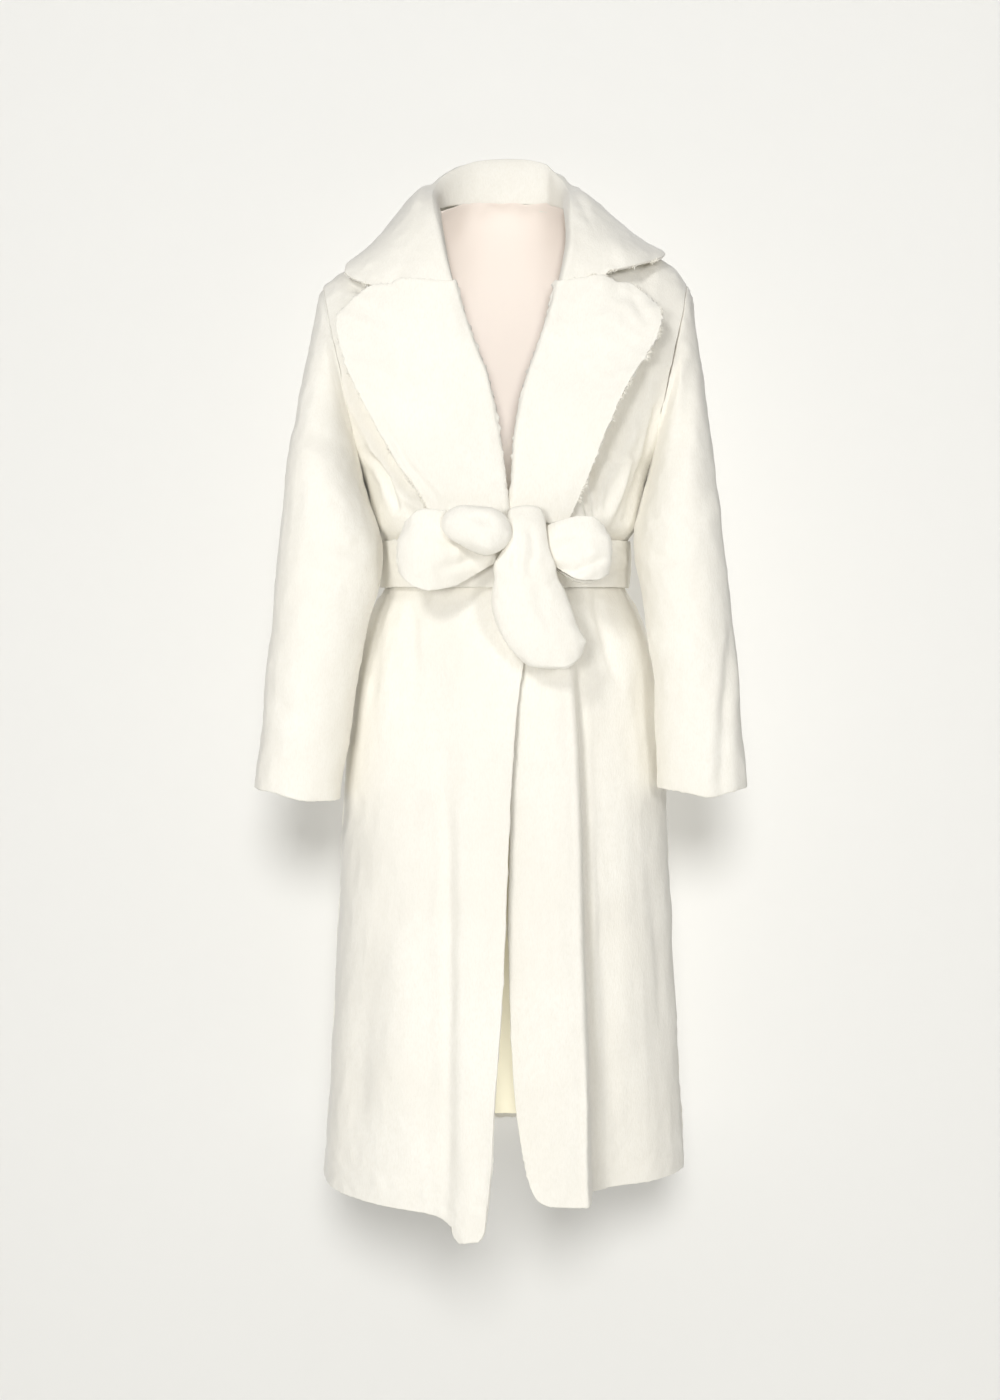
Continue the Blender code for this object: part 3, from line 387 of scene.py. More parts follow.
def set_points(piece, points):
    """Move the piece's points."""
    piece.data.vertices.foreach_set("co", points.astype(np.float32).ravel())
    piece.data.update()


def unit(vectors):
    """Vectors of length one."""
    return vectors / np.maximum(np.linalg.norm(vectors, axis=1), 1e-9)[:, None]


CHEST_Z = -0.19
LAPEL_FACING = np.array([0.0, -1.0, 0.25])


def away_from_body(points):
    """Outward directions round the body: level below the chest, and over the shoulders above it."""
    away = points.copy()
    away[:, 2] = np.maximum(0.0, points[:, 2] - CHEST_Z)
    return unit(away)


def away_from_axis(points, slices=24):
    """Outward directions round a sleeve, from its middle line."""
    height = points[:, 2]
    edges = np.linspace(height.min(), height.max(), slices + 1)
    middles = (edges[:-1] + edges[1:]) / 2.0
    centres = []
    for low, high in zip(edges[:-1], edges[1:]):
        here = points[(height >= low) & (height <= high)]
        centres.append((here.min(axis=0) + here.max(axis=0)) / 2.0)
    centres = np.array(centres)
    away = points.copy()
    away[:, 0] -= np.interp(height, middles, centres[:, 0])
    away[:, 1] -= np.interp(height, middles, centres[:, 1])
    away[:, 2] = 0.0
    return unit(away)


def away_to_front(points):
    """The lapels face forwards."""
    return unit(np.tile(LAPEL_FACING, (len(points), 1)))


print("the lapels face", LAPEL_FACING.round(2).tolist())


# %% [markdown]
# A soft random field is a sum of plane waves with seeded directions. It repeats exactly from run
# to run, and it is smooth at the scale of its wavelength.

# %% Soft random field
def soft_field(points, wavelength, seed, waves=28):
    """A smooth random value near -1 to 1 at each point."""
    random = np.random.default_rng(seed)
    directions = unit(random.normal(size=(waves, 3)))
    frequency = 2.0 * math.pi / (wavelength * random.uniform(0.75, 1.5, waves))
    phase = random.uniform(0.0, 2.0 * math.pi, waves)
    total = np.zeros(len(points))
    for k in range(waves):
        total += np.sin(points @ (directions[k] * frequency[k]) + phase[k])
    return total / math.sqrt(waves)


print("the field at the origin:", soft_field(np.zeros((1, 3)), 0.075, 1).round(3))

# %% [markdown]
# A crease is a path drawn on one side of the coat, with a width and a depth. The cloth sinks along
# it and stands up a little beside it. It fades towards its ends, and where the cloth turns away.

# %% Creases
Crease = namedtuple("Crease", "face path width depth")
# the two axes that a path is drawn on, and the way the side faces
FACES = {
    "front": ((0, 2), (0.0, -1.0, 0.0)),
    "back": ((0, 2), (0.0, 1.0, 0.0)),
    "left": ((1, 2), (1.0, 0.0, 0.0)),
    "right": ((1, 2), (-1.0, 0.0, 0.0)),
}
LIP = 0.35  # the cloth beside a trough stands up by this share of its depth
LIP_PLACE = 1.9  # how far from the path it does so, in widths
FAR = 9.0  # metres, farther than any point of the coat
FADE = 0.6  # the power that holds the depth up until near the ends


def creases(face, *rows):
    """Creases on one side, from rows of path, width and depth."""
    return [Crease(face, *row) for row in rows]


def crease_depth(points, outward, crease):
    """How far one crease pushes each point out, or in where depth is negative."""
    axes, way = FACES[crease.face]
    flat = points[:, axes]
    path = np.array(crease.path)
    nearest = np.full(len(points), FAR)
    along = np.zeros(len(points))
    lengths = np.linalg.norm(np.diff(path, axis=0), axis=1)
    before = 0.0
    for start, end, length in zip(path[:-1], path[1:], lengths):
        step = (end - start) / length
        t = np.clip((flat - start) @ step, 0.0, length)
        distance = np.linalg.norm(flat - (start + t[:, None] * step), axis=1)
        closer = distance < nearest
        nearest[closer] = distance[closer]
        along[closer] = (before + t[closer]) / lengths.sum()
        before += length
    fade = np.sin(math.pi * np.clip(0.04 + 0.92 * along, 0.0, 1.0)) ** FADE
    facing = np.clip(2.0 * (outward @ np.array(way)), 0.0, 1.0)
    trough = np.exp(-((nearest / crease.width) ** 2))
    from_lip = (nearest - LIP_PLACE * crease.width) / crease.width
    lip = np.exp(-(from_lip ** 2))
    return crease.depth * fade * facing * (trough - LIP * lip)


print("creases can be drawn on:", ", ".join(FACES))

# %% [markdown]
# The pile lies in clumps about 2 cm across, over slow waves of the whole cloth. At a cut edge it
# frays, so the points of the rim stand out unevenly.

# %% Clumps and frayed edges
WAVE_LENGTH = 0.075
CLUMP_LENGTH = 0.020
FRAY_LENGTH = 0.0065
CLUMP_FLOOR = -0.6  # clumps sink less than they rise


def shape_cloth(piece, outward_of, creases, clump=0.0005, wave=0.0010, fray=0.0008, seed=1):
    """Creases, then clumps and slow waves over the faces, then a frayed edge."""
    points = points_of(piece)
    outward = outward_of(points)
    push = np.zeros(len(points))
    for crease in creases:
        push += crease_depth(points, outward, crease)
    push += wave * soft_field(points, WAVE_LENGTH, seed)
    points += outward * push[:, None]
    set_points(piece, points)
    normals = normals_of(piece)
    flatness = np.abs(np.sum(normals * outward, axis=1))
    edge = np.clip(1.4 - 2.2 * flatness, 0.0, 1.0)
    lump = clump * np.maximum(CLUMP_FLOOR, soft_field(points, CLUMP_LENGTH, seed + 11))
    tuft = fray * np.maximum(0.0, soft_field(points, FRAY_LENGTH, seed + 23)) * edge
    points += normals * (lump * (1.0 - edge) + tuft)[:, None]
    set_points(piece, points)


print("clumps of", 1000 * CLUMP_LENGTH, "mm on waves of", 1000 * WAVE_LENGTH, "mm")


# %% Measures and surfaces
def ramp(value, start, end):
    """A soft step from 0 at start to 1 at end."""
    t = np.clip((value - start) / (end - start), 0.0, 1.0)
    return t * t * (3.0 - 2.0 * t)


def window(value, low, high, soft):
    """1 between low and high, and 0 a soft edge outside them."""
    return ramp(value, low - soft, low) * ramp(-value, -high - soft, -high)


def at_height(z, table):
    """A table of (height, value), read at each height."""
    rows = np.array(sorted(table))
    return np.interp(z, rows[:, 0], rows[:, 1])


def surface_tree(piece):
    """A tree that finds the nearest place on a piece."""
    mesh = piece.data
    corners = [vertex.co[:] for vertex in mesh.vertices]
    return BVHTree.FromPolygons(corners, [face.vertices[:] for face in mesh.polygons])


def front_surface(piece):
    """A function that gives the Y of a piece's front face at each X and Z, or none."""
    tree = surface_tree(piece)

    def y_at(x, z):
        hit = tree.ray_cast(Vector((x, -1.0, z)), Vector((0.0, 1.0, 0.0)))[0]
        return None if hit is None else hit.y

    return y_at


def finish_piece(piece, node, material):
    """Give the piece its cloth, and put it in place of its solid."""
    piece.data.materials.append(material)
    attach(piece, "root")
    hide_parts(node)
    area = sum(face.area for face in piece.data.polygons)
    size = [round(1000 * s) for s in piece.dimensions]
    faces = len(piece.data.polygons)
    print(f"{piece.name}: {2 * faces} triangles, {size} mm, cloth {area / 2:.3f} m2")


print("a ramp's middle:", ramp(0.5, 0.0, 1.0))

# %% [markdown]
# ## Shoulder and sides
#
# The wearer's left shoulder is a little fuller than in the solids, and above the belt the body
# reaches out to the sleeves. Every piece that meets there moves alike.

# %% Shoulder and sides
SHOULDER_RISE = 0.011
SIDE_FILL = 0.0075


def round_shoulder(points):
    """Fill out the wearer's left shoulder."""
    x, z = points[:, 0], points[:, 2]
    points[:, 2] += SHOULDER_RISE * window(x, 0.186, 0.204, 0.024) * ramp(z, -0.125, -0.075)


def fill_side(points):
    """Fill the body out above the belt."""
    x, z = points[:, 0], points[:, 2]
    out = SIDE_FILL * window(z, -0.365, -0.285, 0.055) * ramp(np.abs(x), 0.105, 0.150)
    points[:, 0] += np.sign(x) * out


print("shoulder up", 1000 * SHOULDER_RISE, "mm, sides out", 1000 * SIDE_FILL, "mm")

# %% [markdown]
# ## Back
#
# The tied belt draws the back in, and soft vertical folds run out of it. None shows from the
# front, so they are set where such a coat gathers.

# %% Back
BACK_CREASES = creases(
    "back",
    ([(-0.105, -0.375), (-0.112, -0.310), (-0.104, -0.235)], 0.010, -0.0045),
    ([(-0.045, -0.380), (-0.040, -0.320), (-0.047, -0.262)], 0.008, -0.0035),
    ([(0.030, -0.380), (0.038, -0.300), (0.030, -0.215)], 0.010, -0.0045),
    ([(0.092, -0.378), (0.100, -0.318), (0.118, -0.255)], 0.009, -0.0040),
    ([(-0.130, -0.455), (-0.142, -0.560), (-0.150, -0.700)], 0.012, -0.0055),
    ([(-0.070, -0.455), (-0.078, -0.600), (-0.072, -0.860)], 0.014, -0.0060),
    ([(-0.012, -0.458), (-0.006, -0.540), (-0.012, -0.640)], 0.009, -0.0035),
    ([(0.052, -0.455), (0.062, -0.640), (0.070, -0.930)], 0.014, -0.0065),
    ([(0.120, -0.456), (0.134, -0.540), (0.142, -0.660)], 0.011, -0.0045),
    ([(0.020, -0.800), (0.012, -0.960), (0.020, -1.150)], 0.018, -0.0050),
    ([(-0.125, -0.880), (-0.134, -1.020), (-0.138, -1.165)], 0.018, -0.0050),
)
back = finer_copy("back")
points = points_of(back)
round_shoulder(points)
fill_side(points)
set_points(back, points)
shape_cloth(back, away_from_body, BACK_CREASES, seed=3)
finish_piece(back, "back", plush)

# %% [markdown]
# The lining takes the back's inward creases, a little deeper, and hangs clear of the plush. Its upper
# edge comes forward at the neck and rises unevenly to the collar, and its hem hangs lower.

# %% Back lining
LINING_EASE = 0.0022  # the lining hangs this far clear of the plush
LINING_DEPTH = 1.1  # its creases are this much deeper than the back's
NECK_FORWARD = 0.0045
LINING_DROP = 0.046

back_lining = finer_copy("back_lining", LINING_SUBDIVISIONS)
points = points_of(back_lining)
outward = away_from_body(points)
push = np.full(len(points), -LINING_EASE)
for crease in BACK_CREASES:
    push += np.minimum(0.0, LINING_DEPTH * crease_depth(points, outward, crease))
points += outward * push[:, None]
neck = window(points[:, 0], -0.10, 0.10, 0.02)
points[:, 1] -= NECK_FORWARD * ramp(points[:, 2], -0.070, 0.010) * neck
rise = 0.008 + 0.007 * ramp(np.abs(points[:, 0]), 0.025, 0.060)
rise = rise + 0.0012 * soft_field(points, 0.016, 51)
points[:, 2] += rise * ramp(points[:, 2], 0.000, 0.028) * neck
points[:, 2] -= LINING_DROP * ramp(-points[:, 2], 1.000, 1.120)
set_points(back_lining, points)
finish_piece(back_lining, "back_lining", lining)

# %% [markdown]
# ## Right front
#
# The wearer's right front lies over the left one. Thin troughs run along the lapel's edge and
# under the collar's tip, where the cloth lies in shade. Under the belt it hangs nearly plain, with
# a soft fold beside its edge strip, and the strip ends in a blunt tongue at the hem.

# %% Right front
RIGHT_LAPEL_TROUGH = [(-0.186, -0.190), (-0.179, -0.217), (-0.166, -0.245), (-0.151, -0.274)]
RIGHT_LAPEL_TROUGH += [(-0.136, -0.300), (-0.118, -0.325), (-0.100, -0.346)]
RIGHT_TIP_TROUGH = [(-0.192, -0.083), (-0.176, -0.090), (-0.161, -0.092), (-0.146, -0.088)]
RIGHT_WAIST_TROUGH = [(-0.169, -0.283), (-0.151, -0.301), (-0.139, -0.319), (-0.130, -0.354)]
STRIP_FOLD = [(-0.070, -0.640), (-0.0655, -0.815), (-0.0660, -0.990), (-0.0670, -1.170)]
RIGHT_FRONT_CREASES = creases(
    "front",
    (RIGHT_LAPEL_TROUGH, 0.0048, -0.0105),
    (RIGHT_TIP_TROUGH, 0.0050, -0.0100),
    (RIGHT_WAIST_TROUGH, 0.0045, -0.0075),
    ([(-0.112, -0.465), (-0.1105, -0.510), (-0.1086, -0.556)], 0.007, -0.0030),
    ([(-0.150, -0.470), (-0.158, -0.520), (-0.160, -0.600)], 0.008, -0.0030),
    (STRIP_FOLD, 0.007, -0.0028),
    ([(-0.170, -0.900), (-0.176, -1.020), (-0.178, -1.140)], 0.016, -0.0035),
    ([(-0.118, -0.840), (-0.124, -0.960), (-0.120, -1.100)], 0.018, 0.0030),
)
STRIP_HEM = [(-0.0638, -1.1870), (-0.0611, -1.2030), (-0.0560, -1.2085)]
STRIP_HEM += [(-0.0470, -1.2080), (-0.0291, -1.2050), (-0.0220, -1.1980), (-0.0177, -1.1860)]
STRIP_COLUMN = 0.0015  # how wide the columns are that the tongue's edge is set by
STRIP_OUT = 0.004


def hang_strip(points):
    """Give the right front's edge strip its blunt tongue at the hem."""
    low = ramp(-points[:, 2], 1.155, 1.185)
    points[:, 0] += STRIP_OUT * low * ramp(points[:, 0], -0.040, -0.020)
    column = np.round(points[:, 0] / STRIP_COLUMN)
    for key in np.unique(column):
        here = np.flatnonzero((column == key) & (points[:, 2] < -1.10))
        middle = key * STRIP_COLUMN
        if len(here) == 0 or middle < STRIP_HEM[0][0] or middle > STRIP_HEM[-1][0]:
            continue
        drop = float(np.interp(middle, *np.array(STRIP_HEM).T)) - points[here, 2].min()
        points[here, 2] += drop * ramp(-points[here, 2], 1.12, 1.19)


right_front = finer_copy("right_front")
points = points_of(right_front)
hang_strip(points)
fill_side(points)
set_points(right_front, points)
shape_cloth(right_front, away_from_body, RIGHT_FRONT_CREASES, seed=5)
finish_piece(right_front, "right_front", plush)

# %% [markdown]
# ## Left front
#
# The left front has the deep fold, made by its solid and pressed to a crisp edge here, and pleats
# where the belt gathers it under the lapel.

# %% Left front creases
FOLD_TROUGH = [(0.088, -0.545), (0.0915, -0.63), (0.0965, -0.76)]
FOLD_TROUGH += [(0.1015, -0.94), (0.106, -1.06), (0.1085, -1.17)]
LAPEL_TROUGH = [(0.170, -0.178), (0.152, -0.212), (0.138, -0.245)]
LAPEL_TROUGH += [(0.125, -0.275), (0.113, -0.302), (0.096, -0.345)]
LEFT_FRONT_CREASES = creases(
    "front",
    (LAPEL_TROUGH, 0.010, -0.0140),
    (FOLD_TROUGH, 0.0045, -0.0038),
    ([(0.1813, -0.234), (0.169, -0.294), (0.1535, -0.342), (0.145, -0.366)], 0.005, -0.0085),
    ([(0.1001, -0.321), (0.0990, -0.340), (0.0978, -0.368)], 0.004, -0.0060),
    ([(0.112, -0.290), (0.108, -0.330), (0.106, -0.372)], 0.004, -0.0060),
    ([(0.1465, -0.298), (0.1334, -0.338), (0.119, -0.373)], 0.006, 0.0080),
    ([(0.108, -0.455), (0.1119, -0.480), (0.1214, -0.515), (0.1297, -0.556)], 0.006, -0.0035),
    ([(0.150, -0.462), (0.160, -0.520), (0.163, -0.610)], 0.009, -0.0030),
    ([(0.1813, -0.803), (0.1898, -0.902), (0.1934, -1.001)], 0.006, -0.0035),
    ([(0.140, -0.700), (0.146, -0.860), (0.150, -1.080)], 0.016, 0.0030),
)
print("left front creases:", len(LEFT_FRONT_CREASES))

# %% Left front
FOLD_START = [(-0.54, 0.092), (-0.58, 0.094), (-0.68, 0.098), (-0.88, 0.105), (-1.08, 0.110)]
FOLD_START += [(-1.15, 0.113)]
FOLD_LINE = [(-0.54, 0.0806), (-0.63, 0.0853), (-0.76, 0.0900), (-0.94, 0.0946), (-1.06, 0.0993)]
FOLD_LINE += [(-1.18, 0.1017)]
FOLD_RUN = 0.019  # how wide the fold's slope is in the solid
FOLD_EDGE = 0.0045  # how wide it is when pressed
FOLD_REACH = 0.045  # how far to each side the cloth gives way for it
FOLD_LIFT = 0.0018  # how far its edge stands off
SLIT_SHIFT = [(-1.12, 0.0), (-1.05, 0.003), (-0.93, 0.006), (-0.83, 0.008), (-0.70, 0.004)]
SLIT_SHIFT += [(-0.62, 0.0)]


def press_fold(points):
    """Press the long fold of the left front to a crisp edge along its line."""
    x, z = points[:, 0].copy(), points[:, 2]
    start = at_height(z, FOLD_START)
    line = at_height(z, FOLD_LINE)
    before, after = start - FOLD_REACH, start + FOLD_RUN + FOLD_REACH
    pressed = np.where(x < start, before + (x - before) * (line - before) / (start - before), x)
    inside = (x >= start) & (x <= start + FOLD_RUN)
    pressed = np.where(inside, line + (x - start) * FOLD_EDGE / FOLD_RUN, pressed)
    edge = line + FOLD_EDGE
    beyond = edge + (x - start - FOLD_RUN) * (after - edge) / (after - start - FOLD_RUN)
    pressed = np.where((x > start + FOLD_RUN) & (x < after), beyond, pressed)
    pressed = np.where((x < before) | (x > after), x, pressed)
    strength = ramp(-z, 0.455, 0.55)
    points[:, 0] = x + strength * (pressed - x)
    beside = (points[:, 0] - line + 0.004) / 0.005
    points[:, 1] -= strength * FOLD_LIFT * np.exp(-(beside ** 2))


left_front = finer_copy("left_front")
points = points_of(left_front)
press_fold(points)
round_shoulder(points)
fill_side(points)
points[:, 0] -= at_height(points[:, 2], SLIT_SHIFT) * ramp(-points[:, 0], -0.050, -0.020)
set_points(left_front, points)
shape_cloth(left_front, away_from_body, LEFT_FRONT_CREASES, seed=7)
finish_piece(left_front, "left_front", plush)

# %% [markdown]
# ## Sleeves
#
# Straight roomy tubes, bent a little forwards. Soft slanting creases lie at the elbow's front and
# at the underarm, and the wearer's left sleeve has a long soft fold down to its cuff.

# %% Sleeve creases
RIGHT_SLEEVE_CREASES = creases(
    "front",
    ([(-0.262, -0.235), (-0.236, -0.262), (-0.205, -0.278)], 0.010, -0.0030),
    ([(-0.160, -0.395), (-0.182, -0.402), (-0.212, -0.392)], 0.008, -0.0035),
    ([(-0.170, -0.445), (-0.200, -0.438), (-0.232, -0.420)], 0.010, -0.0030),
    ([(-0.285, -0.560), (-0.262, -0.590), (-0.236, -0.604)], 0.012, -0.0025),
) + creases(
    "back",
    ([(-0.255, -0.300), (-0.220, -0.345), (-0.185, -0.365)], 0.009, -0.0035),
    ([(-0.260, -0.420), (-0.225, -0.455), (-0.190, -0.462)], 0.010, -0.0035),
) + creases(
    "right",
    ([(-0.010, -0.250), (-0.050, -0.300), (-0.085, -0.320)], 0.012, -0.0030),
)
LEFT_SLEEVE_CREASES = creases(
    "front",
    ([(0.2741, -0.490), (0.2658, -0.545), (0.2610, -0.610)], 0.007, -0.0040),
    ([(0.2598, -0.580), (0.2586, -0.640), (0.2600, -0.698)], 0.008, -0.0030),
    ([(0.222, -0.180), (0.214, -0.250), (0.196, -0.310)], 0.008, -0.0025),
    ([(0.170, -0.405), (0.192, -0.415), (0.216, -0.402)], 0.008, -0.0030),
    ([(0.250, -0.300), (0.236, -0.340), (0.214, -0.360)], 0.012, -0.0025),
) + creases(
    "back",
    ([(0.250, -0.290), (0.222, -0.340), (0.190, -0.368)], 0.009, -0.0035),
    ([(0.262, -0.430), (0.230, -0.470), (0.196, -0.480)], 0.010, -0.0035),
) + creases(
    "left",
    ([(-0.010, -0.260), (-0.045, -0.310), (-0.080, -0.335)], 0.012, -0.0030),
)
print("sleeve creases:", len(RIGHT_SLEEVE_CREASES), "and", len(LEFT_SLEEVE_CREASES))

# %% [markdown]
# The cuffs are drawn up, most at the outer side. The sleeve's head is then drawn onto the panels
# that it is sewn to, firmly on the right and about halfway on the left, where the seam still shows
# as a line.

# %% Cuffs and armholes
CUFF_RISE = 0.004
OUTER_CUFF_RISE = 0.008
LEFT_CUFF_RISE = 0.013  # at the left cuff's inner side
UNDERARM = -0.26


def lift_cuff(piece):
    """Draw the cuff up a little, and most at its outer side."""
    points = points_of(piece)
    outer = ramp(np.abs(points[:, 0]), 0.235, 0.285)
    points[:, 2] += ramp(-points[:, 2], 0.61, 0.70) * (CUFF_RISE + OUTER_CUFF_RISE * outer)
    set_points(piece, points)


def sew_armhole(piece, bodies, reach, strength):
    """Draw the sleeve's head onto the panels that it is sewn to, to close the seam."""
    points = points_of(piece)
    trees = [surface_tree(body) for body in bodies]
    for k in np.flatnonzero(points[:, 2] > UNDERARM):
        place = Vector(points[k])
        hits = [tree.find_nearest(place, reach) for tree in trees]
        near = [hit for hit in hits if hit[0] is not None]
        if near:
            spot, _, _, distance = min(near, key=lambda hit: hit[3])
            share = strength * math.sqrt(1.0 - distance / reach)
            points[k] += share * (np.array(spot) - points[k])
    set_points(piece, points)


print("cuffs up by", 1000 * CUFF_RISE, "to", 1000 * (CUFF_RISE + OUTER_CUFF_RISE), "mm")

# %% Sleeves
right_sleeve = finer_copy("right_sleeve")
lift_cuff(right_sleeve)
shape_cloth(right_sleeve, away_from_axis, RIGHT_SLEEVE_CREASES, seed=9)
sew_armhole(right_sleeve, (right_front, back), reach=0.009, strength=1.0)
finish_piece(right_sleeve, "right_sleeve", plush)

left_sleeve = finer_copy("left_sleeve")
points = points_of(left_sleeve)
round_shoulder(points)
inner = ramp(-points[:, 0], -0.262, -0.188)
points[:, 2] += LEFT_CUFF_RISE * ramp(-points[:, 2], 0.61, 0.70) * inner
set_points(left_sleeve, points)
lift_cuff(left_sleeve)
shape_cloth(left_sleeve, away_from_axis, LEFT_SLEEVE_CREASES, seed=13)
sew_armhole(left_sleeve, (left_front, back), reach=0.005, strength=0.5)
finish_piece(left_sleeve, "left_sleeve", plush)

# %% [markdown]
# ## Lapels
#
# Two plies of plush turned outwards along the roll line. Their cut edges are the most ragged
# part of the coat, and the right lapel shows the line where its plies are turned under. Tables of
# height and distance say where the roll line and the outer edge lie in the solids, and how far the
# edge moves: outwards on the right lapel and inwards on the left one.

# %% Lapel tables
RIGHT_LAPEL_CREASES = creases(
    "front",
    ([(-0.1420, -0.2560), (-0.1121, -0.3050), (-0.0800, -0.3430)], 0.0035, -0.0022),
    ([(-0.060, -0.100), (-0.050, -0.130), (-0.044, -0.160)], 0.006, -0.0015),
)
LEFT_LAPEL_CREASES = creases(
    "front",
    ([(0.150, -0.105), (0.158, -0.125), (0.170, -0.140)], 0.006, -0.0020),
)
ROLL_LINE = [(-0.09, 0.093), (-0.12, 0.052), (-0.16, 0.037), (-0.19, 0.027), (-0.24, 0.013)]
ROLL_LINE += [(-0.30, 0.007), (-0.36, 0.005)]
OUTER_LINE = [(-0.09, 0.154), (-0.12, 0.184), (-0.155, 0.182), (-0.19, 0.165), (-0.217, 0.154)]
OUTER_LINE += [(-0.246, 0.144), (-0.274, 0.132), (-0.302, 0.118), (-0.325, 0.103), (-0.345, 0.091)]
OUTER_LINE += [(-0.358, 0.080)]
RIGHT_EDGE_SHIFT = [(-0.130, 0.004), (-0.155, 0.009), (-0.190, 0.0135), (-0.217, 0.0115)]
RIGHT_EDGE_SHIFT += [(-0.245, 0.008), (-0.274, 0.005), (-0.325, 0.006), (-0.344, 0.005)]
LEFT_EDGE_SHIFT = [(-0.120, 0.0), (-0.155, -0.0035), (-0.190, -0.010), (-0.217, -0.0155)]
LEFT_EDGE_SHIFT += [(-0.245, -0.018), (-0.274, -0.019), (-0.302, -0.015), (-0.325, -0.010)]
LEFT_EDGE_SHIFT += [(-0.344, -0.008)]
print("rows of the lapel tables:", len(ROLL_LINE), len(OUTER_LINE))

# %% Lapels
LAPEL_POWER = 1.6  # the edge moves more than the middle
LAPEL_END_DROP = 0.014
LAPEL_END_IN = 0.005
LAPEL_TOP_RISE = 0.008
LEFT_TOP_DROP = 0.005


def trim_lapel(piece, shift, lift):
    """Move the lapel's outer edge outwards or inwards, and stand it off the front."""
    points = points_of(piece)
    z, side = points[:, 2], np.sign(points[:, 0].mean())
    roll, outer = at_height(z, ROLL_LINE), at_height(z, OUTER_LINE)
    across = np.clip((side * points[:, 0] - roll) / (outer - roll), 0.0, 1.1) ** LAPEL_POWER
    points[:, 0] += side * at_height(z, shift) * across
    points[:, 1] -= lift * across * window(z, -0.300, -0.200, 0.050)
    set_points(piece, points)


def tuck_lapel(piece, way):
    """Run the lapel's lower end down behind the bow, and its upper end up under the collar."""
    points = points_of(piece)
    low = ramp(-points[:, 2], 0.325, 0.356)
    inner = ramp(-np.abs(points[:, 0]), -0.030, -0.004)
    points[:, 2] -= LAPEL_END_DROP * low
    points[:, 0] += way * LAPEL_END_IN * low * inner
    under_collar = window(np.abs(points[:, 0]), 0.060, 0.120, 0.015)
    points[:, 2] += LAPEL_TOP_RISE * (ramp(points[:, 2], -0.115, -0.088) * under_collar)
    set_points(piece, points)


right_lapel = finer_copy("right_lapel")
tuck_lapel(right_lapel, 1.0)
trim_lapel(right_lapel, RIGHT_EDGE_SHIFT, 0.005)
shape_cloth(right_lapel, away_to_front, RIGHT_LAPEL_CREASES, fray=0.0016, seed=17)
finish_piece(right_lapel, "right_lapel", collar_plush)

left_lapel = finer_copy("left_lapel")
tuck_lapel(left_lapel, -1.0)
trim_lapel(left_lapel, LEFT_EDGE_SHIFT, 0.007)
points = points_of(left_lapel)
top = ramp(points[:, 2], -0.125, -0.100)
points[:, 2] -= LEFT_TOP_DROP * ramp(points[:, 0], 0.112, 0.125) * top
set_points(left_lapel, points)
shape_cloth(left_lapel, away_to_front, LEFT_LAPEL_CREASES, fray=0.0018, seed=19)
finish_piece(left_lapel, "left_lapel", collar_plush)

# %% [markdown]
# ## Collar
#
# The collar stands a little higher than its solid. Its left side is drawn in, its two tips come
# forward, and the right tip drops. Along the sewn part of the notch seams its lower edge sinks into
# the lapels.

# %% Collar
COLLAR_CREASES = creases(
    "front",
    ([(0.118, -0.060), (0.140, -0.068), (0.160, -0.072)], 0.006, -0.0015),
)
GORGES = [(-0.150, -0.070, right_lapel), (0.058, 0.114, left_lapel)]
GORGE_SOFT = 0.012  # how softly a seam's ends run out
GORGE_EDGE = 0.024  # how much of the collar's edge sinks in
GORGE_COLUMN = 0.004
GORGE_SINK = 0.0010
COLLAR_RISE = 0.009
COLLAR_IN = 0.010
RIGHT_TIP_SHIFT = 0.009
LEFT_TIP_SHIFT = 0.008


def sew_gorge(piece):
    """Sink the collar's lower edge into the lapels along the sewn part of the notch seams."""
    points = points_of(piece)
    for low_x, high_x, lapel in GORGES:
        y_at = front_surface(lapel)
        near = (points[:, 0] > low_x - GORGE_SOFT) & (points[:, 0] < high_x + GORGE_SOFT)
        near &= points[:, 1] < -0.04
        column = np.round(points[:, 0] / GORGE_COLUMN)
        for key in np.unique(column[near]):
            here = np.flatnonzero(near & (column == key))
            bottom = points[here, 2].min()
            edge = here[points[here, 2] < bottom + GORGE_EDGE]
            middle = float(points[edge, 0].mean())
            surface = y_at(middle, bottom - 0.004)
            if surface is None:
                continue
            share = ramp(-points[edge, 2], -bottom - 0.022, -bottom + 0.002)
            share *= window(np.full(len(edge), middle), low_x, high_x, GORGE_SOFT)
            inwards = np.maximum(0.0, surface + GORGE_SINK - points[edge, 1])
            points[edge, 1] += share * inwards
            points[edge, 2] -= 0.004 * share
    set_points(piece, points)


def set_collar(points):
    """Stand the collar a little higher, draw its left side in, and bring its tips forward."""
    x, z = points[:, 0].copy(), points[:, 2].copy()
    centre = ramp(-np.abs(x), -0.112, -0.088)
    points[:, 2] += COLLAR_RISE * ramp(z - 0.065 * centre, -0.030, 0.025)
    left_side = ramp(-x, -0.170, -0.120)
    points[:, 0] -= COLLAR_IN * ramp(x, 0.050, 0.075) * ramp(z, -0.040, 0.030) * left_side
    right_tip = ramp(-x, 0.120, 0.160) * ramp(-z, 0.000, 0.050)
    left_tip = ramp(x, 0.110, 0.150) * ramp(-z, 0.020, 0.050)
    points[:, 2] -= RIGHT_TIP_SHIFT * right_tip
    points[:, 1] -= RIGHT_TIP_SHIFT * right_tip + LEFT_TIP_SHIFT * left_tip


collar = finer_copy("collar")
points = points_of(collar)
set_collar(points)
set_points(collar, points)
sew_gorge(collar)
shape_cloth(collar, away_from_body, COLLAR_CREASES, wave=0.0010, fray=0.0, seed=21)
finish_piece(collar, "collar", collar_plush)

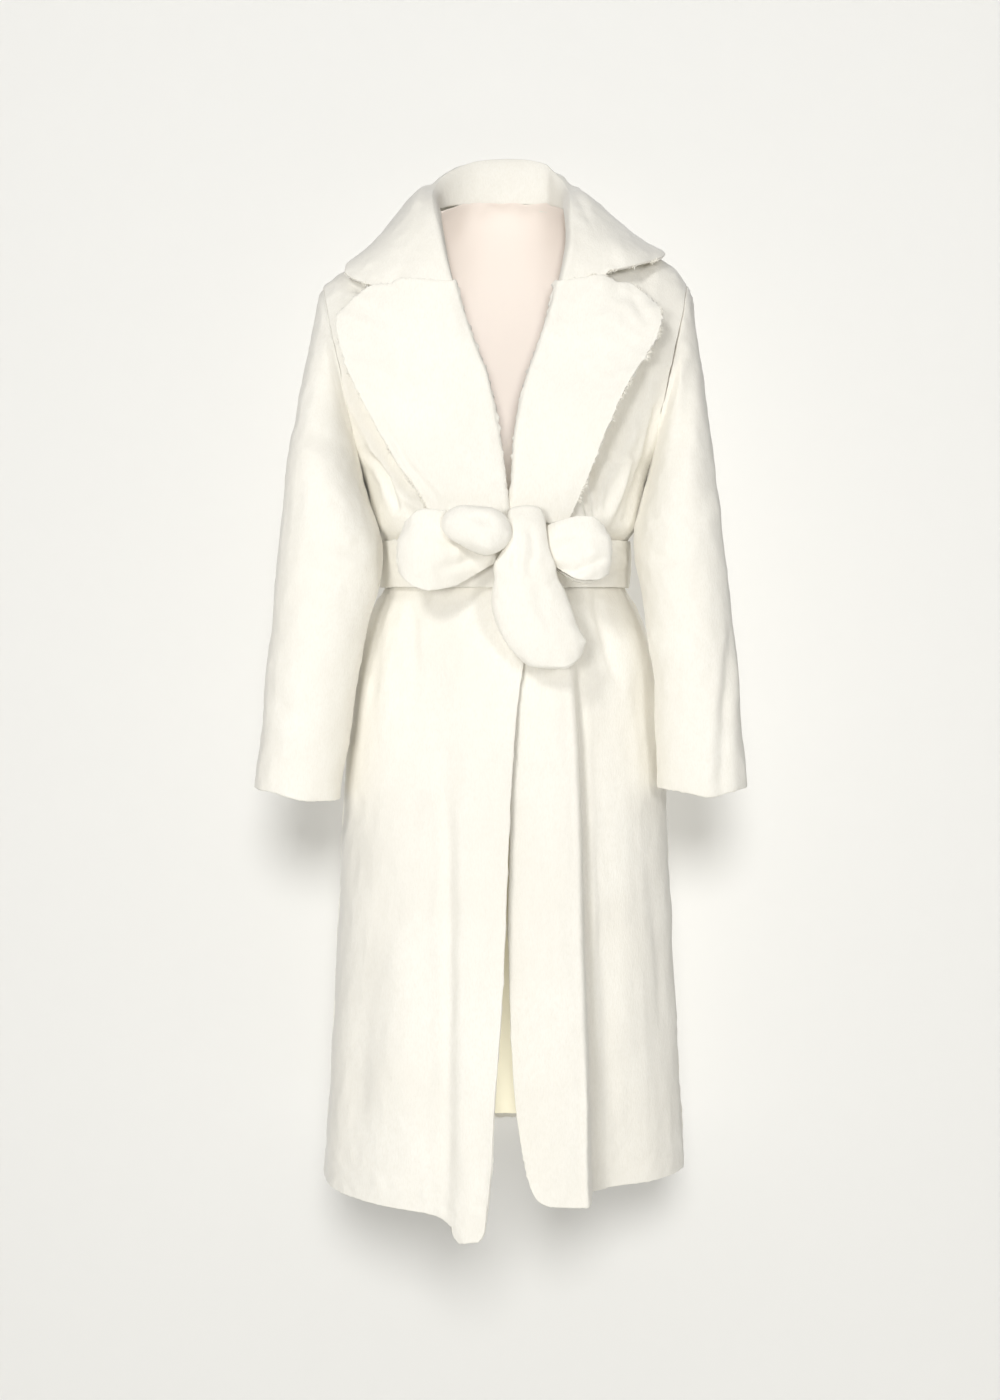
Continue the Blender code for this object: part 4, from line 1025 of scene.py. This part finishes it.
# %% [markdown]
# ## Tufts along the edges
#
# Where plush is cut and turned, its backing opens the pile, and small tufts stand out of the
# edge. Each one is a blade with three sides, a few millimetres long and rooted on the rim of the
# cloth. They gather where the edge is most worn, lean out of it and a little down, and no two are
# the same. Each lapel's tufts, and the collar's, are one small piece that goes with its sheet.

# %% Tufts
RIM = 0.45  # a point is on the rim where its normal turns this far from the face's own
TUFT_BASE = 0.0007
TUFT_DEPTH = 0.0006  # how far its foot is sunk, and how far its root is moved at random
TUFT_LEAN = 0.70
TUFT_DROOP = np.array([0.0, 0.0, -0.30])
WORN_LENGTH = 0.030


def tufts(name, piece, outward_of, count, length, keep, seed):
    """Three-sided blades rooted on the rim of a piece, where keep says so."""
    points, normals = points_of(piece), normals_of(piece)
    rim = np.abs(np.sum(normals * outward_of(points), axis=1)) < RIM
    roots = np.flatnonzero(rim & keep(points))
    random = np.random.default_rng(seed)
    worn = np.maximum(0.02, soft_field(points[roots], WORN_LENGTH, seed)) ** 2
    chosen = random.choice(roots, count, p=worn / worn.sum())
    lean = unit(normals[chosen] + TUFT_LEAN * random.normal(size=(count, 3)) + TUFT_DROOP)
    side = unit(np.cross(lean, random.normal(size=(count, 3))))
    other = np.cross(lean, side)
    reach = length * (0.35 + 0.65 * random.random(count) ** 2)
    place = points[chosen] + TUFT_DEPTH * random.normal(size=(count, 3))
    corners = [place + lean * reach[:, None]]
    for turn in (0.0, 2.0 * math.pi / 3.0, 4.0 * math.pi / 3.0):
        spoke = TUFT_BASE * (math.cos(turn) * side + math.sin(turn) * other)
        corners.append(place - TUFT_DEPTH * lean + spoke)
    vertices = np.stack(corners, axis=1).reshape(-1, 3)
    faces = []
    for k in range(0, 4 * count, 4):
        faces += [(k, k + 1, k + 2), (k, k + 2, k + 3), (k, k + 3, k + 1), (k + 1, k + 3, k + 2)]
    mesh = bpy.data.meshes.new(name)
    mesh.from_pydata(vertices.tolist(), [], faces)
    piece_of_tufts = bpy.data.objects.new(name, mesh)
    bpy.context.scene.collection.objects.link(piece_of_tufts)
    mesh.materials.append(piece.data.materials[0])
    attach(piece_of_tufts, "root")
    print(f"{name}: {count} tufts on {len(roots)} rim points")
    return piece_of_tufts


def right_lapel_edge(p):
    """The right lapel's outer edge below its tip."""
    return (p[:, 0] < -0.085) & (p[:, 2] < -0.12)


def left_lapel_edge(p):
    """The left lapel's outer edge."""
    return p[:, 0] > 0.085


def collar_edge(p):
    """The collar's lower edge at its two tips."""
    return (p[:, 2] < -0.050) & (np.abs(p[:, 0]) > 0.110)


right_lapel_tufts = tufts(
    "right_lapel_tufts", right_lapel, away_to_front, 600, 0.0050, right_lapel_edge, 41
)
left_lapel_tufts = tufts(
    "left_lapel_tufts", left_lapel, away_to_front, 700, 0.0052, left_lapel_edge, 43
)
collar_tufts = tufts("collar_tufts", collar, away_from_body, 420, 0.0045, collar_edge, 45)

# %% [markdown]
# ## Belt
#
# A padded tube of plush pressed flat, tied in a half bow: two loops, one round wrap of the knot
# and one broad free end. Its creases come first, then the five pieces. Small moves round off the
# loops' outer ends, draw one end of the knot out and up, and widen the tail's upper part.

# %% Belt creases
BELT_CREASES = creases(
    "front",
    ([(0.118, -0.400), (0.130, -0.404), (0.143, -0.4075)], 0.004, -0.0030),
    ([(0.122, -0.428), (0.134, -0.424), (0.146, -0.426)], 0.004, -0.0020),
) + creases(
    "back",
    ([(-0.060, -0.404), (-0.020, -0.410), (0.030, -0.406)], 0.005, -0.0022),
    ([(0.050, -0.428), (0.085, -0.425), (0.115, -0.430)], 0.005, -0.0020),
)
RIGHT_LOOP_CREASES = creases(
    "front",
    ([(-0.040, -0.385), (-0.060, -0.392), (-0.082, -0.390)], 0.006, -0.0030),
    ([(-0.036, -0.412), (-0.056, -0.420), (-0.078, -0.428)], 0.006, -0.0030),
    ([(-0.095, -0.372), (-0.104, -0.398), (-0.100, -0.425)], 0.010, 0.0025),
)
LEFT_LOOP_CREASES = creases(
    "front",
    ([(0.052, -0.422), (0.080, -0.429), (0.116, -0.412)], 0.005, -0.0040),
    ([(0.056, -0.390), (0.074, -0.384), (0.090, -0.386)], 0.006, -0.0025),
)
KNOT_CREASES = creases(
    "front",
    ([(-0.0496, -0.3989), (-0.0330, -0.4060), (-0.0177, -0.4120)], 0.004, -0.0025),
    ([(-0.045, -0.372), (-0.030, -0.368), (-0.012, -0.374)], 0.006, -0.0015),
)
TAIL_CREASES = creases(
    "front",
    ([(0.0120, -0.408), (0.0099, -0.419), (0.0120, -0.430)], 0.004, -0.0030),
    ([(0.030, -0.380), (0.032, -0.405), (0.026, -0.430)], 0.005, -0.0020),
    ([(0.014, -0.440), (0.028, -0.475), (0.048, -0.508)], 0.010, 0.0020),
)
print("tail creases:", len(TAIL_CREASES))

# %% Belt band and loops
LOOP_CORNER_DROP = 0.012
LOOP_CORNER_IN = 0.006
LEFT_CORNER_DROP = 0.011
LEFT_CORNER_IN = 0.005

belt_band = finer_copy("belt_band")
shape_cloth(belt_band, away_from_body, BELT_CREASES, seed=25)
finish_piece(belt_band, "belt_band", belt_plush)

right_loop = finer_copy("belt_right_loop")
points = points_of(right_loop)
corner = ramp(-points[:, 0], 0.096, 0.128) * ramp(points[:, 2], -0.400, -0.364)
points[:, 2] -= LOOP_CORNER_DROP * corner
points[:, 0] += LOOP_CORNER_IN * corner
set_points(right_loop, points)
shape_cloth(right_loop, away_to_front, RIGHT_LOOP_CREASES, wave=0.0015, seed=27)
finish_piece(right_loop, "belt_right_loop", belt_plush)

left_loop = finer_copy("belt_left_loop")
points = points_of(left_loop)
corner = ramp(-points[:, 0], -0.085, -0.050)
points[:, 2] += LOOP_CORNER_DROP * corner * ramp(-points[:, 2], 0.410, 0.440)
points[:, 0] -= LOOP_CORNER_IN * corner * window(points[:, 2], -0.425, -0.405, 0.015)
corner = ramp(points[:, 0], 0.098, 0.127) * ramp(points[:, 2], -0.398, -0.366)
points[:, 2] -= LEFT_CORNER_DROP * corner
points[:, 0] -= LEFT_CORNER_IN * corner
set_points(left_loop, points)
shape_cloth(left_loop, away_to_front, LEFT_LOOP_CREASES, wave=0.0015, seed=29)
finish_piece(left_loop, "belt_left_loop", belt_plush)

# %% Knot and tail
KNOT_OUT = 0.014
KNOT_RISE = 0.006
TAIL_SPREAD = 0.30
TAIL_MIDDLE = 0.026
TAIL_END = -0.538
TAIL_BLUNT = 0.7  # how much of what lies below the end is drawn up
TAIL_CORNER_OUT = 0.008
TAIL_CORNER_RISE = 0.017

knot = finer_copy("belt_knot")
points = points_of(knot)
points[:, 0] -= KNOT_OUT * ramp(-points[:, 0], 0.020, 0.060)
points[:, 2] += KNOT_RISE * ramp(-points[:, 0], 0.020, 0.060)
set_points(knot, points)
shape_cloth(knot, away_to_front, KNOT_CREASES, wave=0.0010, fray=0.0, seed=31)
finish_piece(knot, "belt_knot", belt_plush)

tail = finer_copy("belt_tail")
points = points_of(tail)
upper = ramp(points[:, 2], -0.440, -0.415)
points[:, 0] += upper * TAIL_SPREAD * (points[:, 0] - TAIL_MIDDLE)
points[:, 2] += TAIL_BLUNT * np.maximum(0.0, TAIL_END - points[:, 2])
corner = window(points[:, 2], -0.540, -0.515, 0.03)
points[:, 0] += TAIL_CORNER_OUT * corner * ramp(points[:, 0], 0.030, 0.070)
corner = ramp(-points[:, 2], 0.500, 0.535)
points[:, 2] += TAIL_CORNER_RISE * ramp(points[:, 0], 0.068, 0.098) * corner
set_points(tail, points)
shape_cloth(tail, away_to_front, TAIL_CREASES, wave=0.0015, fray=0.0, seed=33)
finish_piece(tail, "belt_tail", belt_plush)

# %% [markdown]
# ## Light
#
# The cloth is nearly white and the light is high-key. Under an even white sky, four lamps light
# the cloth: a key from the upper left that models the folds, a fill at the left in front, a weak
# one beside the camera, and a fill at the right. The backdrop has its own lamp, high in front, so
# that its shadow falls down behind the coat, and a low one without shadow. One lamp reaches the
# lining alone, since so little light gets inside a coat, and one lights the coat's back.
# Light linking says what each lamp reaches.

# %% Light
SKY_STRENGTH = 0.32
SKY_COLOUR = (1.0, 0.995, 0.985, 1.0)
Lamp = namedtuple("Lamp", "name place size power reaches shadow")
LAMPS = [
    Lamp("key", (-1.5, -3.7, 1.9), 0.8, 56.0, "cloth", True),
    Lamp("front_fill", (-1.15, -4.25, -0.30), 0.8, 54.0, "cloth", True),
    Lamp("axis_fill", (-0.1, -4.4, -0.25), 0.5, 9.0, "cloth", True),
    Lamp("side_fill", (1.9, -3.9, 0.2), 0.7, 31.0, "cloth", True),
    Lamp("lining_fill", (0.0, -3.6, -0.42), 0.4, 104.0, "lining", True),
    Lamp("backdrop_key", (0.0, -4.3, 1.0), 1.2, 140.0, "backdrop", True),
    Lamp("backdrop_fill", (0.0, -4.3, -2.8), 2.0, 50.0, "backdrop", False),
    Lamp("back_key", (0.9, 4.2, 0.9), 1.6, 130.0, "all", True),
]
LAMP_TARGET = (0.0, 0.0, -0.5)


def light_group(name, members, state="INCLUDE"):
    """What a lamp reaches, or with EXCLUDE what it does not reach."""
    group = bpy.data.collections.new(name)
    for member in members:
        group.objects.link(member)
    for item in group.collection_objects:
        item.light_linking.link_state = state
    return group


REACH = {
    "all": None,
    "backdrop": light_group("only_backdrop", [wall]),
    "lining": light_group("only_lining", [back_lining]),
    "cloth": light_group("all_but_backdrop_and_lining", [wall, back_lining], "EXCLUDE"),
}
world = bpy.data.worlds.new("pale_sky")
world.use_nodes = True
world.node_tree.nodes["Background"].inputs["Color"].default_value = SKY_COLOUR
world.node_tree.nodes["Background"].inputs["Strength"].default_value = SKY_STRENGTH
bpy.context.scene.world = world
for lamp in LAMPS:
    lamp_data = bpy.data.lights.new(lamp.name, "AREA")
    lamp_data.shape = "DISK"
    lamp_data.size = lamp.size
    lamp_data.energy = lamp.power
    lamp_data.use_shadow = lamp.shadow
    lamp_object = bpy.data.objects.new(lamp.name, lamp_data)
    bpy.context.scene.collection.objects.link(lamp_object)
    lamp_object.light_linking.receiver_collection = REACH[lamp.reaches]
    lamp_object.location = lamp.place
    aim = Vector(LAMP_TARGET) - Vector(lamp.place)
    lamp_object.rotation_euler = aim.to_track_quat("-Z", "Y").to_euler()
bpy.context.scene.view_settings.view_transform = "Standard"
print("lamps:", ", ".join(lamp.name for lamp in LAMPS))

# %% [markdown]
# ## Check the size
#
# The cloth may stand a little proud of its solids. Both boxes are written down for comparison.

# %% Size
low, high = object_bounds()
for axis, name in enumerate("XYZ"):
    below, above = 1000 * (cad_low[axis] - low[axis]), 1000 * (high[axis] - cad_high[axis])
    print(f"{name}: below {below:.1f} mm, above {above:.1f} mm")
